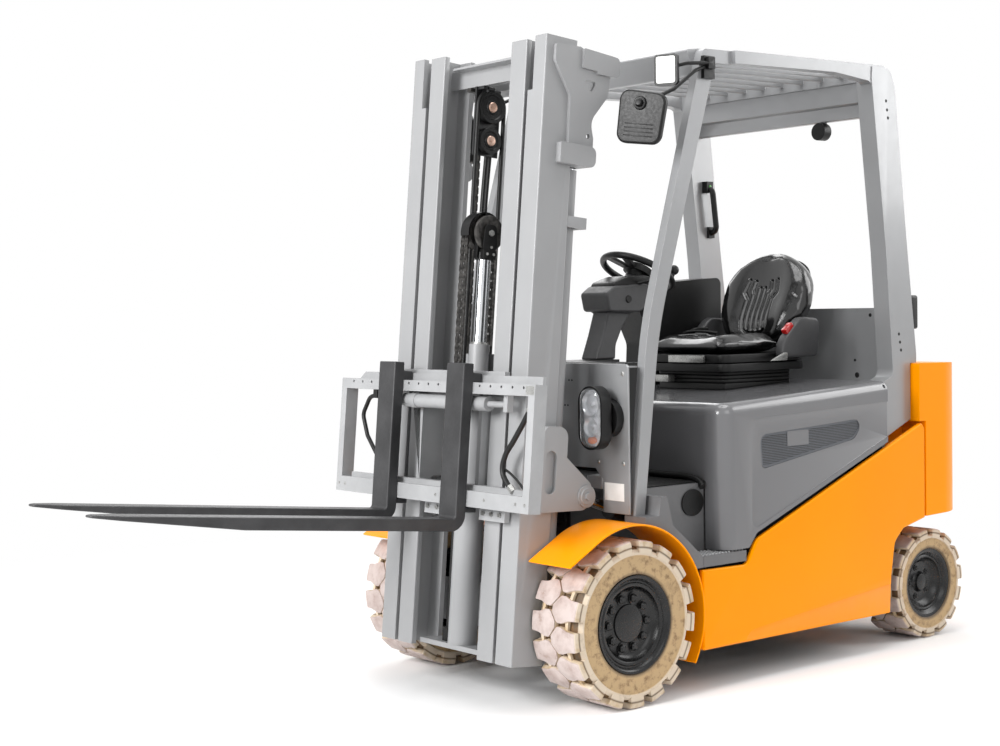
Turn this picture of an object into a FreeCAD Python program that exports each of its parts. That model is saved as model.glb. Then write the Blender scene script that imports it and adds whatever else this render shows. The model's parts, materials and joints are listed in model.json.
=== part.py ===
import FreeCAD, Part
import math
import os

from FreeCAD import Placement, Rotation, Vector

os.makedirs("parts", exist_ok=True)

# Electric counterbalance forklift in millimetres, +X forward, +Y left, +Z up.
# Everything is drawn about the drive axle on the ground, then moved so that the origin
# lies on the ground below the middle of the truck's length.

# Overall
wheelbase = 1775.0
truck_half_width = 620.0
axle_ahead_of_origin = 88.5
running_gap = 0.3
body_gap = 6.0

# Drive wheels and axle
drive_tyre_radius = 296.0
drive_tyre_width = 225.0
drive_rim_radius = 174.0
drive_rim_inset = 7.0
drive_disc_inset = 52.0
drive_hub_radius = 68.0
drive_spindle_radius = 35.0
drive_nut_circle = 100.0
drive_nut_count = 10
axle_tube_radius = 75.0
gearbox_radius = 118.0
gearbox_half_width = 150.0

# Steered wheels and axle
steer_tyre_radius = 229.0
steer_tyre_width = 195.0
steer_outer_face = 556.0
steer_rim_radius = 145.0
steer_rim_inset = 13.0
steer_disc_inset = 62.0
steer_hub_radius = 45.0
kingpin_y = 340.0
kingpin_radius = 20.0
yoke_radius = 34.0
knuckle_radius = 30.0
steer_spindle_radius = 22.0
yoke_plate = 25.0
yoke_half_height = 111.0

# Tyre lugs
lug_depth = 20.0
drive_lug_count = 17
steer_lug_count = 15

# Side skirts
skirt_face = 600.0
skirt_wall = 16.0
skirt_front = -355.0
skirt_bottom = 150.0
skirt_step = 446.0
skirt_kink = (-649.0, 530.0)
skirt_peak = (-1664.0, 914.0)
seam_x = -1691.0
arch_front = -1452.0
arch_height = 500.0
skirt_edge_round = 9.0
crease_depth = 5.0

# Front fenders
fender_radius = 352.0
fender_wall = 7.0
fender_inner_face = 396.0
fender_outer_face = 614.0
fender_tip = (304.0, 530.0)
fender_rear_angle = 211.0

# Counterweight
weight_rear = -1995.0
weight_front_high = -1648.0
weight_top = 1160.0
weight_bottom = 524.0
weight_corner = 180.0
weight_keel_half = 128.0
weight_keel_bottom = 360.0
weight_core_half = 480.0
weight_core_top = 1000.0
tow_pocket = (-1925.0, 70.0, 600.0, 700.0)
tow_recess = (740.0, 830.0)
tow_pin_radius = 13.0
tow_pin_x = -1958.0

# Hood and cab floor
hood_face = 595.0
hood_front = -480.0
hood_rear = -1446.0
battery_size = (820.0, 860.0, 640.0)
battery_rear = -1390.0
battery_bottom = 330.0
battery_headroom = 74.0
hood_fall = 50.0
hood_top_front = battery_bottom + battery_size[2] + battery_headroom
hood_top_rear = hood_top_front + hood_fall
hood_wall = 10.0
hood_corner = 62.0
hood_shoulder = 44.0
hood_recess = 4.0
hood_skirt_gap = 16.0
floor_height = 750.0
floor_plate = 12.0
riser_face = 490.0
step_height = 495.0
step_lip = 40.0
step_rear = -600.0
tray_rear = -1440.0
tray_plate = 20.0
bulkhead_x = (-560.0, -500.0)
hood_pin = (-1430.0, hood_top_rear - 22.0)
hood_pin_radius = 7.0
hood_rear_gap = 12.0
hood_lip_bottom = hood_top_rear - 34.0
hood_hinge_y = 340.0

# Front panel and dash
cowl_x = -60.0
cowl_wall = 8.0
cowl_top = 1205.0
cowl_bottom = 825.0
cowl_half_width = 528.0
cowl_leg_bottom = 668.0
cowl_leg_inner = 392.0
dash_depth = 200.0

# Overhead guard
pillar_y = 520.0
front_pillar_wall = 36.0
rear_pillar_wall = 78.0
pillar_foot = (-90.0, 664.0)
pillar_waist = (-178.0, 1330.0)
pillar_top = (-486.0, 2350.0)
front_pillar_width = 62.0
roof_rear = (-1518.0, 2371.0)
roof_rail = 48.0
roof_bar_count = 8
roof_bar_wall = 22.0
roof_bar_height = 34.0
rear_header_drop = 200.0
rear_wall_x = -1600.0
rear_wall_top = 1390.0

# Seat
seat_front = -872.0
seat_rear = -1372.0
seat_half_width = 235.0
seat_base_height = 104.0
seat_hood_gap = 14.0
seat_base_bottom = hood_top_rear + seat_hood_gap
seat_base_top = seat_base_bottom + seat_base_height
cushion_height = 78.0
backrest_height = 450.0
backrest_wall = 120.0
backrest_lean = 20.0
soft_gap = 0.5

# Steering wheel and column
wheel_centre = (-626.0, 1548.0)
wheel_radius = 158.0
wheel_rim = 13.5
wheel_tilt = 28.0
column_foot = (-404.0, 1205.3)

# Mast, drawn upright with its front face at X 0, then leaned back about the ground line
mast_lean = math.degrees(math.atan(0.0945))
mast_front_x = 397.6
rail_bottom = 166.0
rail_top = 2378.0
rail_depth = 146.0
rail_flange = 22.0
mast_tyre_clearance = 7.0
outer_face = truck_half_width - drive_tyre_width - mast_tyre_clearance
outer_web = 18.0
outer_lip = outer_face - 88.0
inner_lip = outer_lip - 105.0
inner_flange_end = outer_lip - 18.0
inner_web = (outer_lip - 38.0, outer_lip - 24.0)
rail_notch = (26.0, 190.0)
roller_radius = 50.7
mast_roller_heights = (256.0, 756.0)
carriage_roller_heights = (840.0, 1145.0)
mast_pivot = (96.0, 300.0)
mast_pin_radius = 22.0
outer_tie_x = (-236.0, -217.0)
lift_barrel_x = -184.0
lift_barrel_y = outer_face - 55.0
lift_barrel_radius = 29.0
lift_rod_radius = 18.0
lift_barrel_top = 1925.0
lift_rod_top = 2300.0
free_cylinder_x = -87.0
free_barrel_radius = 54.0
free_neck_radius = 38.0
free_shoulder = 1085.0
free_barrel_top = 1292.0
free_rod_radius = 25.0
free_rod_bottom = 760.0
yoke_bottom = 1605.0
sheave_height = 1703.0
sheave_radius = 62.0
chain_wall = 9.0
chain_y = (-58.0, -14.0)
hose_pulleys = ((-142.0, 2188.0, 61.0), (-142.0, 2062.0, 50.0))
hose_pulley_y = (-90.0, -68.0)
mast_hose_radius = 8.0

# Head bracket and tilt bracket on the outer rails
bracket_wall = 14.0
head_tie = (-334.0, -228.0, 2272.0, 2345.0)
tilt_pin = (-284.0, 765.0)
tilt_pin_radius = 17.0
tilt_eye_play = 1.2
tilt_bracket_wall = 24.0
tilt_cylinder_y = outer_face - 38.0
tilt_barrel_radius = 38.0
tilt_rod_radius = 20.0
tilt_anchor = (-440.0, 560.0)

# Carriage, side shifter and forks, in the upright mast's own frame
bar_front = 92.0
bar_wall = 28.0
backing_wall = 14.0
hook_groove = 14.0
bar_top = 1147.0
bar_strip = 40.0
backing_top = 1175.0
bar_bottom = 709.0
lower_bar_height = 57.0
shifter_left = 540.0
shifter_right = -619.0
shifter_post = 34.0
carriage_plate = 24.0
carriage_gap = 6.0
shift_cylinder_y = (-237.0, 257.0)
shift_cylinder_radius = 26.0
fork_width = 100.0
fork_wall = 44.0
fork_left_y = 153.0
fork_right_y = -262.0
fork_top = 1213.0
fork_bottom = 620.0
fork_length = 1362.0
fork_heel_round = 58.0

sides = (("left", 1), ("right", -1))
nodes = {}


def box(x, y, z):
    # Each argument is a pair of low and high coordinates in any order.
    low = Vector(min(x), min(y), min(z))
    return Part.makeBox(max(x) - min(x), max(y) - min(y), max(z) - min(z), low)


def cylinder(start, axis, radius, length):
    return Part.makeCylinder(radius, length, Vector(*start), Vector(*axis))


def rod_between(start, end, radius):
    run = Vector(*end) - Vector(*start)
    return Part.makeCylinder(radius, run.Length, Vector(*start), run)


def face_point(plane, at, a, b):
    if plane == "xz":
        return Vector(a, at, b)
    if plane == "xy":
        return Vector(a, b, at)
    return Vector(at, a, b)


def plane_normal(plane):
    return {"xz": Vector(0, 1, 0), "xy": Vector(0, 0, 1), "yz": Vector(1, 0, 0)}[plane]


def slab(plane, corners, low, high):
    # Extrudes an outline; a corner is (a, b) or (a, b, rounding radius).
    flat = [Vector(c[0], c[1], 0) for c in corners]
    edges = []
    joints = []
    for i, corner in enumerate(corners):
        here = flat[i]
        radius = corner[2] if len(corner) > 2 else 0
        if radius == 0:
            joints.append((here, here, None))
            continue
        to_last = (flat[i - 1] - here).normalize()
        to_next = (flat[(i + 1) % len(flat)] - here).normalize()
        half = to_last.getAngle(to_next) / 2
        reach = radius / math.tan(half)
        centre = here + (to_last + to_next).normalize() * (radius / math.sin(half))
        middle = centre + (here - centre).normalize() * radius
        joints.append((here + to_last * reach, here + to_next * reach, middle))
    for i, (entry, leave, middle) in enumerate(joints):
        if middle is not None:
            arc = [face_point(plane, low, p.x, p.y) for p in (entry, middle, leave)]
            edges.append(Part.Arc(*arc).toShape())
        after = joints[(i + 1) % len(joints)][0]
        if (after - leave).Length > 1e-6:
            line = [face_point(plane, low, p.x, p.y) for p in (leave, after)]
            edges.append(Part.makeLine(*line))
    face = Part.Face(Part.Wire(edges))
    return face.extrude(plane_normal(plane) * (high - low))


def turned(profile, centre, axis):
    # Revolves (along, radius) corners about an axis along Y through the centre.
    points = [Vector(centre[0], along, centre[1] + radius) for along, radius in profile]
    face = Part.Face(Part.makePolygon(points + points[:1]))
    return face.revolve(Vector(centre[0], 0, centre[1]), Vector(*axis), 360)


def bent_tube(route, radius, bend):
    # A round tube along straight runs joined by tangent arcs of one bend radius.
    points = [Vector(*p) for p in route]
    edges = []
    start = points[0]
    for before, here, after in zip(points, points[1:], points[2:]):
        to_last = (before - here).normalize()
        to_next = (after - here).normalize()
        half = to_last.getAngle(to_next) / 2
        reach = bend / math.tan(half)
        centre = here + (to_last + to_next).normalize() * (bend / math.sin(half))
        middle = centre + (here - centre).normalize() * bend
        entry = here + to_last * reach
        leave = here + to_next * reach
        edges.append(Part.makeLine(start, entry))
        edges.append(Part.Arc(entry, middle, leave).toShape())
        start = leave
    edges.append(Part.makeLine(start, points[-1]))
    path = Part.Wire(edges)
    ring = Part.Wire(Part.makeCircle(radius, points[0], points[1] - points[0]))
    sweep = Part.BRepOffsetAPI.MakePipeShell(path)
    sweep.setFrenetMode(True)
    sweep.add(ring)
    sweep.build()
    sweep.makeSolid()
    return sweep.shape()


def mirrored(shape):
    return shape.mirror(Vector(0, 0, 0), Vector(0, 1, 0))


def fused(shapes):
    whole = shapes[0].fuse(shapes[1:]) if len(shapes) > 1 else shapes[0]
    return whole.removeSplitter()


def both_sides(shape):
    return [shape, mirrored(shape)]


mast_frame = Placement(Vector(mast_front_x, 0, 0), Rotation(Vector(0, 1, 0), -mast_lean))
origin_shift = Placement(Vector(axle_ahead_of_origin, 0, 0), Rotation())


def save(name, shapes, on_mast=False):
    solids = [solid for shape in shapes for solid in shape.Solids]
    whole = Part.makeCompound(solids) if len(solids) > 1 else solids[0]
    place = origin_shift.multiply(mast_frame) if on_mast else origin_shift
    whole.Placement = place.multiply(whole.Placement)
    if not whole.isValid():
        raise RuntimeError("invalid shape in " + name)
    whole.exportStep("parts/" + name + ".step")
    nodes[name] = whole
    print(name, len(solids), "solids", round(whole.Volume / 1e6, 2), "litres")


def mast_to_truck(point):
    # A point (X, Z) of the upright mast as (x, z) of the truck before the origin shift.
    lean = math.radians(mast_lean)
    x = mast_front_x + point[0] * math.cos(lean) - point[1] * math.sin(lean)
    z = point[0] * math.sin(lean) + point[1] * math.cos(lean)
    return x, z


# Wheels and tyres
def lug_ring(centre, radius, width, outer_face, count):
    # Two staggered rows of six-sided lugs that stand on the carcass and meet at the middle.
    middle = outer_face - width / 2
    pitch = 2 * math.pi * radius / count
    wide = pitch * 0.80
    reach = width / 2 + wide * 0.12
    tip = wide * 0.34
    lugs = []
    for row, sign in enumerate((1, -1)):
        for i in range(count):
            turn = 360.0 * (i + row / 2) / count
            corners = [
                (-wide / 2, sign * (width / 2 + 2)),
                (wide / 2, sign * (width / 2 + 2)),
                (wide / 2, sign * (width / 2 - reach + tip)),
                (wide / 2 - tip, sign * (width / 2 - reach)),
                (tip - wide / 2, sign * (width / 2 - reach)),
                (-wide / 2, sign * (width / 2 - reach + tip)),
            ]
            lug = slab("xy", corners, radius - lug_depth - 6, radius + 6)
            lug.rotate(Vector(0, 0, 0), Vector(0, 1, 0), turn)
            lug.translate(Vector(centre[0], middle, centre[1]))
            lugs.append(lug)
    return lugs


def tyre(centre, radius, width, outer_face, rim_radius, lug_count):
    inner_face = outer_face - width
    bead = rim_radius + running_gap
    wall_radius = (radius + bead) / 2 + 4
    carcass = turned(
        [
            (inner_face + 9, bead),
            (inner_face + 2, wall_radius),
            (inner_face + 12, radius - lug_depth - 8),
            (inner_face + 26, radius - lug_depth),
            (outer_face - 26, radius - lug_depth),
            (outer_face - 12, radius - lug_depth - 8),
            (outer_face - 2, wall_radius),
            (outer_face - 9, bead),
        ],
        centre,
        (0, 1, 0),
    )
    envelope = turned(
        [
            (inner_face, radius - 46),
            (inner_face, radius - 14),
            (inner_face + 16, radius),
            (outer_face - 16, radius),
            (outer_face, radius - 14),
            (outer_face, radius - 46),
        ],
        centre,
        (0, 1, 0),
    )
    lugs = lug_ring(centre, radius, width, outer_face, lug_count)
    trimmed = Part.makeCompound(lugs).common(envelope)
    return fused([carcass] + trimmed.Solids)


def rim(centre, width, outer_face, radius, inset, disc_inset, hub_radius, bore, nuts):
    # A dished disc wheel with flanges, hub cap and, on the drive wheels, a ring of nuts.
    back = outer_face - width + inset
    front = outer_face - inset
    disc = outer_face - disc_inset
    profile = [
        (back, radius - 26),
        (back, radius),
        (back + 8, radius),
        (back + 12, radius - 0.5),
        (front - 8, radius - 0.5),
        (front, radius),
        (front, radius - 14),
        (front - 10, radius - 22),
        (disc + 10, radius - 30),
        (disc + 2, radius - 48),
        (disc + 2, hub_radius),
        (disc + 12, hub_radius),
        (disc + 12, 0),
        (disc - 4, 0),
        (disc - 4, bore),
        (disc - 60, bore),
        (disc - 60, hub_radius - 6),
        (disc - 10, hub_radius + 4),
        (disc - 10, radius - 52),
        (disc, radius - 36),
    ]
    pieces = [turned(profile, centre, (0, 1, 0))]
    for i in range(nuts):
        angle = 2 * math.pi * i / nuts
        x = centre[0] + drive_nut_circle * math.cos(angle)
        z = centre[1] + drive_nut_circle * math.sin(angle)
        pieces.append(cylinder((x, disc - 2, z), (0, 1, 0), 13, 20))
    return fused(pieces)


drive_centre = (0.0, drive_tyre_radius)
steer_centre = (-wheelbase, steer_tyre_radius)
drive_tyre = tyre(
    drive_centre, drive_tyre_radius, drive_tyre_width, truck_half_width, drive_rim_radius, drive_lug_count
)
drive_rim = rim(
    drive_centre, drive_tyre_width, truck_half_width, drive_rim_radius, drive_rim_inset,
    drive_disc_inset, drive_hub_radius, drive_spindle_radius + running_gap, drive_nut_count
)
steer_tyre = tyre(
    steer_centre, steer_tyre_radius, steer_tyre_width, steer_outer_face, steer_rim_radius, steer_lug_count
)
steer_rim = rim(
    steer_centre, steer_tyre_width, steer_outer_face, steer_rim_radius, steer_rim_inset,
    steer_disc_inset, steer_hub_radius, steer_spindle_radius + running_gap, 0
)
for side, sign in sides:
    place = mirrored if sign < 0 else (lambda shape: shape)
    save("drive_tyre_" + side, [place(drive_tyre)])
    save("drive_rim_" + side, [place(drive_rim)])
    save("steer_tyre_" + side, [place(steer_tyre)])
    save("steer_rim_" + side, [place(steer_rim)])

# Drive axle with gearbox, spindles and the two lugs that carry the mast
drive_disc = truck_half_width - drive_disc_inset
spindle_end = drive_disc - 5
axle_z = drive_tyre_radius
axle_parts = [
    cylinder((0, -330, axle_z), (0, 1, 0), axle_tube_radius, 660),
    cylinder((0, -gearbox_half_width, axle_z), (0, 1, 0), gearbox_radius, 2 * gearbox_half_width),
]
for side, sign in sides:
    axle_parts.append(cylinder((0, sign * 320, axle_z), (0, sign, 0), 100, 42))
    axle_parts.append(
        cylinder((0, sign * 362, axle_z), (0, sign, 0), drive_spindle_radius, spindle_end - 362)
    )
    pivot_x, pivot_z = mast_pivot
    lug = box((0, pivot_x + 10), (sign * 338, sign * 364), (pivot_z - 30, pivot_z + 30))
    pin = cylinder((pivot_x, sign * 345, pivot_z), (0, sign, 0), mast_pin_radius, 42)
    axle_parts += [lug, pin]
save("drive_axle", [fused(axle_parts)])

# Steered axle beam with its forked ends, and the two knuckles
beam_x = -wheelbase
beam_parts = [
    box((beam_x - 60, beam_x + 60), (-282, 282), (axle_z - 130, axle_z - 10)),
    cylinder((beam_x + 95, -190, axle_z - 60), (0, 1, 0), 34, 380),
    box((beam_x + 50, beam_x + 95), (-60, 60), (axle_z - 90, axle_z - 30)),
]
steer_z = steer_tyre_radius
for side, sign in sides:
    for level in (-1, 1):
        z = steer_z + level * (yoke_half_height - yoke_plate / 2)
        low = z - yoke_plate / 2
        arm = box((beam_x - 34, beam_x + 34), (sign * 240, sign * kingpin_y), (low, low + yoke_plate))
        end = cylinder((beam_x, sign * kingpin_y, low), (0, 0, 1), yoke_radius, yoke_plate)
        beam_parts += [arm, end]
    post = box(
        (beam_x - 34, beam_x + 34), (sign * 240, sign * 282), (
            steer_z - yoke_half_height, steer_z + yoke_half_height
        )
    )
    beam_parts.append(post)
beam = fused(beam_parts)
for side, sign in sides:
    bore = cylinder(
        (beam_x, sign * kingpin_y, steer_z - 150), (0, 0, 1), kingpin_radius + running_gap, 300
    )
    beam = beam.cut(bore)
save("steer_axle_beam", [beam])

knuckle_half = yoke_half_height - yoke_plate - 0.5
steer_disc = steer_outer_face - steer_disc_inset
knuckle = fused([
    cylinder(
        (beam_x, kingpin_y, steer_z - yoke_half_height), (0, 0, 1), kingpin_radius, 2 * yoke_half_height
    ),
    cylinder((beam_x, kingpin_y, steer_z - knuckle_half), (0, 0, 1), knuckle_radius, 2 * knuckle_half),
    cylinder((beam_x, kingpin_y, steer_z), (0, 1, 0), steer_spindle_radius, steer_disc - 5 - kingpin_y),
    cylinder((beam_x, kingpin_y, steer_z), (0, 1, 0), 32, steer_disc - 62 - kingpin_y),
])
for side, sign in sides:
    save("knuckle_" + side, [knuckle if sign > 0 else mirrored(knuckle)])


# Side skirts
def skirt_outline(inset):
    # The outline is counted round the panel from its front foot; inset shrinks the arch side.
    return [
        (skirt_front, skirt_bottom, 12),
        (skirt_front, skirt_step),
        (-594 + inset, skirt_step - 4, 30),
        (skirt_kink[0], skirt_kink[1], 60),
        (skirt_peak[0], skirt_peak[1], 14),
        (seam_x + body_gap, skirt_peak[1] - 24, 10),
        (seam_x + body_gap, weight_bottom - 6),
        (-1540, arch_height - 14, 30),
        (-1484, arch_height - 64, 60),
        (arch_front - 8, 300),
        (arch_front, skirt_bottom, 8),
    ]


skirt = slab("xz", skirt_outline(0), skirt_face - skirt_wall, skirt_face)
outer_edges = [
    edge for edge in skirt.Edges
    if abs(edge.BoundBox.YMin - skirt_face) < 1e-3 and abs(edge.BoundBox.YMax - skirt_face) < 1e-3
]
skirt = skirt.makeFillet(skirt_edge_round, outer_edges)
crease = slab(
    "xz",
    [(-560, 100), (-600, 192, 60), (arch_front - 20, 270), (arch_front - 20, 100)],
    skirt_face - crease_depth,
    skirt_face + 1,
)
skirt = skirt.cut(crease)
save("side_skirts", both_sides(skirt))

# Front fenders: a sheet arch that runs out straight to its front tip
def fender_curve(radius, tip):
    rear = math.radians(fender_rear_angle)
    lean = math.radians(62)
    start = Vector(radius * math.cos(rear), 0, axle_z + radius * math.sin(rear))
    top = Vector(0, 0, axle_z + radius)
    bend = Vector(radius * math.cos(lean), 0, axle_z + radius * math.sin(lean))
    return start, top, bend, Vector(tip[0], 0, tip[1])


def fender_face(y):
    outer = fender_curve(fender_radius, fender_tip)
    inner = fender_curve(fender_radius - fender_wall, (fender_tip[0] - 4, fender_tip[1] - 6))
    lift = Vector(0, y, 0)
    start, top, bend, tip = [p + lift for p in outer]
    start_in, top_in, bend_in, tip_in = [p + lift for p in inner]
    edges = [
        Part.Arc(start, top, bend).toShape(),
        Part.makeLine(bend, tip),
        Part.makeLine(tip, tip_in),
        Part.makeLine(tip_in, bend_in),
        Part.Arc(bend_in, top_in, start_in).toShape(),
        Part.makeLine(start_in, start),
    ]
    return Part.Face(Part.Wire(edges))


fender = fender_face(fender_inner_face).extrude(Vector(0, fender_outer_face - fender_inner_face, 0))
save("front_fenders", both_sides(fender))

# Counterweight: a rounded casting over the steered wheels with a narrow keel between them
weight_side = slab(
    "xz",
    [
        (weight_front_high, 920),
        (weight_front_high, weight_top, 12),
        (weight_rear + 66, weight_top - 4, 40),
        (weight_rear, 850, 120),
        (weight_rear, weight_bottom + 8, 26),
        (seam_x, weight_bottom),
        (seam_x, 920),
    ],
    -skirt_face,
    skirt_face,
)
weight_plan = slab(
    "xy",
    [
        (weight_front_high + 1, -skirt_face),
        (weight_front_high + 1, skirt_face),
        (weight_rear, skirt_face, weight_corner),
        (weight_rear, -skirt_face, weight_corner),
    ],
    weight_bottom - 10,
    weight_top + 10,
)
keel = box(
    (weight_rear + 60, seam_x),
    (-weight_keel_half, weight_keel_half),
    (weight_keel_bottom, weight_bottom + 20),
)
saddle = box(
    (-wheelbase - 70, -wheelbase + 70), (-60, 60), (axle_z - 10 + running_gap, weight_keel_bottom + 5)
)
weight_core = box(
    (seam_x, tray_rear - tray_plate), (-weight_core_half, weight_core_half), (
        weight_bottom, weight_core_top
    )
)
pocket_x, pocket_half, pocket_low, pocket_high = tow_pocket
pocket = box((weight_rear - 10, pocket_x), (-pocket_half, pocket_half), (pocket_low, pocket_high))
recess_low, recess_high = tow_recess
recess = box((weight_rear - 10, pocket_x), (-pocket_half, pocket_half), tow_recess)
pin_hole = cylinder(
    (tow_pin_x, 0, pocket_low - 40), (0, 0, 1), tow_pin_radius + running_gap, recess_high - pocket_low
)
counterweight = fused([weight_side.common(weight_plan), keel, saddle, weight_core])
save("counterweight", [counterweight.cut(pocket).cut(recess).cut(pin_hole)])
tow_pin = fused([
    cylinder((tow_pin_x, 0, pocket_low - 38), (0, 0, 1), tow_pin_radius, recess_low + 40 - pocket_low + 38),
    cylinder((tow_pin_x, 0, recess_low + running_gap), (0, 0, 1), tow_pin_radius + 9, 10),
])
save("tow_pin", [tow_pin])

# Frame: sills inside the skirts, cross members, battery tray and the plate ahead of the rear wheels
frame_front = -axle_tube_radius - running_gap
sill_y = (skirt_face - skirt_wall - 60, skirt_face - skirt_wall - 0.3)
frame_parts = []
for side, sign in sides:
    sill = box((skirt_front - 4, tray_rear), (sign * sill_y[0], sign * sill_y[1]), (170, 330))
    rail = box((frame_front, tray_rear), (sign * 250, sign * 300), (200, 320))
    frame_parts += [sill, rail]
frame_parts += [
    box(
        (bulkhead_x[0], tray_rear),
        (-sill_y[0] - 5, sill_y[0] + 5),
        (battery_bottom - 12, battery_bottom - 0.3),
    ),
    box(bulkhead_x, (-sill_y[0] - 5, sill_y[0] + 5), (200, step_height - 8 - running_gap)),
    box(bulkhead_x, (20 - riser_face, riser_face - 20), (200, floor_height - floor_plate - 60)),
    box((tray_rear, tray_rear + tray_plate), (-sill_y[1], sill_y[1]), (170, 900)),
    box((tray_rear - tray_plate, tray_rear), (-230, 230), (weight_bottom, 900)),
]
frame = fused(frame_parts)
save("chassis_frame", [frame])

battery_x = (battery_rear, battery_rear + battery_size[0])
battery_half = battery_size[1] / 2
battery_z = (battery_bottom, battery_bottom + battery_size[2])
save("battery", [box(battery_x, (-battery_half, battery_half), battery_z)])

# Cab floor: plate, risers and the two steps, with the tunnel plate down to the frame
floor_parts = [
    box(
        (cowl_x - 60, bulkhead_x[1]), (-riser_face, riser_face), (floor_height - floor_plate, floor_height)
    ),
    box((bulkhead_x[1], bulkhead_x[1] + 10), (-270, 270), (320, floor_height - floor_plate)),
]
arch_space = cylinder((0, -700, axle_z), (0, 1, 0), fender_radius + running_gap, 1400)
for side, sign in sides:
    riser = box(
        (-150, hood_front + 2),
        (sign * (riser_face - 10), sign * riser_face),
        (step_height - 60, floor_height),
    )
    step_outline = [
        (skirt_front - 6, sign * (riser_face - 10)),
        (skirt_front - 6, sign * (hood_face + 1), 10),
        (step_rear, sign * (hood_face + 1), 10),
        (step_rear, sign * (riser_face - 10)),
    ]
    step = slab("xy", step_outline, step_height - step_lip, step_height)
    hollow = box(
        (skirt_front - 16, step_rear + 10), (sign * (riser_face - 20), sign * (hood_face - 9)),
        (step_height - step_lip - 1, step_height - 8)
    )
    floor_parts += [riser, step.cut(hollow)]
    arch = slab(
        "xz",
        [
            (-150, floor_height - 20),
            (-140, pillar_foot[1] - running_gap),
            (-72, pillar_foot[1] - running_gap),
            (-72, 600),
            (-300, step_height - step_lip),
            (skirt_front - 6, step_height - step_lip),
            (skirt_front - 6, step_height),
            (-290, step_height + 62),
            (-210, step_height + 128),
            (-180, floor_height - 20),
        ],
        min(sign * riser_face, sign * (hood_face + 1)),
        max(sign * riser_face, sign * (hood_face + 1)),
    )
    floor_parts.append(arch)
    web = box(
        (bulkhead_x[1], bulkhead_x[1] + 10), (sign * 430, sign * 480), (320, floor_height - floor_plate)
    )
    floor_parts.append(web)
save("cab_floor", [fused(floor_parts).cut(arch_space)])

pedal_parts = []
for y, width, reach in ((-120, 90, 150), (60, 110, 150)):
    pad = box((-190, -202), (y - width / 2, y + width / 2), (floor_height + 60, floor_height + 60 + reach))
    stem = box((-190, -178), (y - 8, y + 8), (floor_height + 0.3, floor_height + 120))
    plate = pad.fuse(stem)
    pedal_parts.append(plate)
save("pedals", pedal_parts)

# Front panel with its side legs, and the dash behind it
panel = slab(
    "yz",
    [
        (-cowl_half_width, cowl_leg_bottom),
        (-cowl_leg_inner, cowl_leg_bottom),
        (-cowl_leg_inner, 786),
        (-cowl_leg_inner + 40, cowl_bottom),
        (cowl_leg_inner - 40, cowl_bottom),
        (cowl_leg_inner, 786),
        (cowl_leg_inner, cowl_leg_bottom),
        (cowl_half_width, cowl_leg_bottom),
        (cowl_half_width, cowl_top, 14),
        (-cowl_half_width, cowl_top, 14),
    ],
    cowl_x - cowl_wall,
    cowl_x,
)
top_flange = box(
    (cowl_x - 60, cowl_x), (-cowl_half_width + 14, cowl_half_width - 14), (cowl_top - 14, cowl_top - 8)
)
low_flange = box(
    (cowl_x - 60, cowl_x), (-cowl_leg_inner + 50, cowl_leg_inner - 50), (cowl_bottom, cowl_bottom + 6)
)
cowl_feet = [
    box(
        (cowl_x - 110, cowl_x - cowl_wall + 1),
        (sign * 300, sign * 380),
        (floor_height + 0.3, floor_height + 46),
    )
    for side, sign in sides
]
cowl_walls = [
    box((cowl_x - 110, cowl_x - 4), (sign * 372, sign * 380), (floor_height + 0.3, cowl_bottom + 40))
    for side, sign in sides
]
save("front_panel", [fused([panel, top_flange, low_flange] + cowl_feet + cowl_walls)])

dash_front = cowl_x - cowl_wall - 0.3
dash_low = cowl_bottom + 120
dash = slab(
    "xz",
    [
        (dash_front - 55, cowl_top - 14.3),
        (dash_front - 55, dash_low),
        (dash_front - 90, dash_low - 60),
        (dash_front - dash_depth + 60, dash_low + 90, 30),
        (dash_front - dash_depth, cowl_top - 20, 24),
        (dash_front - dash_depth + 20, cowl_top, 16),
        (dash_front - 75, cowl_top),
    ],
    -430,
    430,
)
dash_nose = slab(
    "xz",
    [
        (dash_front, dash_low),
        (dash_front, cowl_top - 14.3),
        (dash_front - 60, cowl_top - 14.3),
        (dash_front - 60, dash_low),
    ],
    -330,
    330,
)
tongue_low = cowl_top - 85
dash_tongue = slab(
    "xz",
    [
        (column_foot[0] - 56, cowl_top),
        (column_foot[0] - 56, cowl_top - 12),
        (column_foot[0] - 32, tongue_low),
        (dash_front - dash_depth + 40, tongue_low),
        (dash_front - dash_depth + 40, cowl_top),
    ],
    -64,
    64,
)
dash_space = slab(
    "xz",
    [
        (dash_front - 63, cowl_top - 24),
        (dash_front - 63, dash_low - 10),
        (dash_front - 90, dash_low - 80),
        (dash_front - dash_depth + 60, dash_low + 60, 30),
        (dash_front - dash_depth + 66, dash_low + 98, 20),
        (dash_front - dash_depth + 10, cowl_top - 24, 20),
        (dash_front - dash_depth + 24, cowl_top - 9, 10),
        (dash_front - 78, cowl_top - 9),
    ],
    -422,
    422,
)
save("dash_cover", [fused([fused([dash, dash_nose]).cut(dash_space), dash_tongue])])

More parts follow.
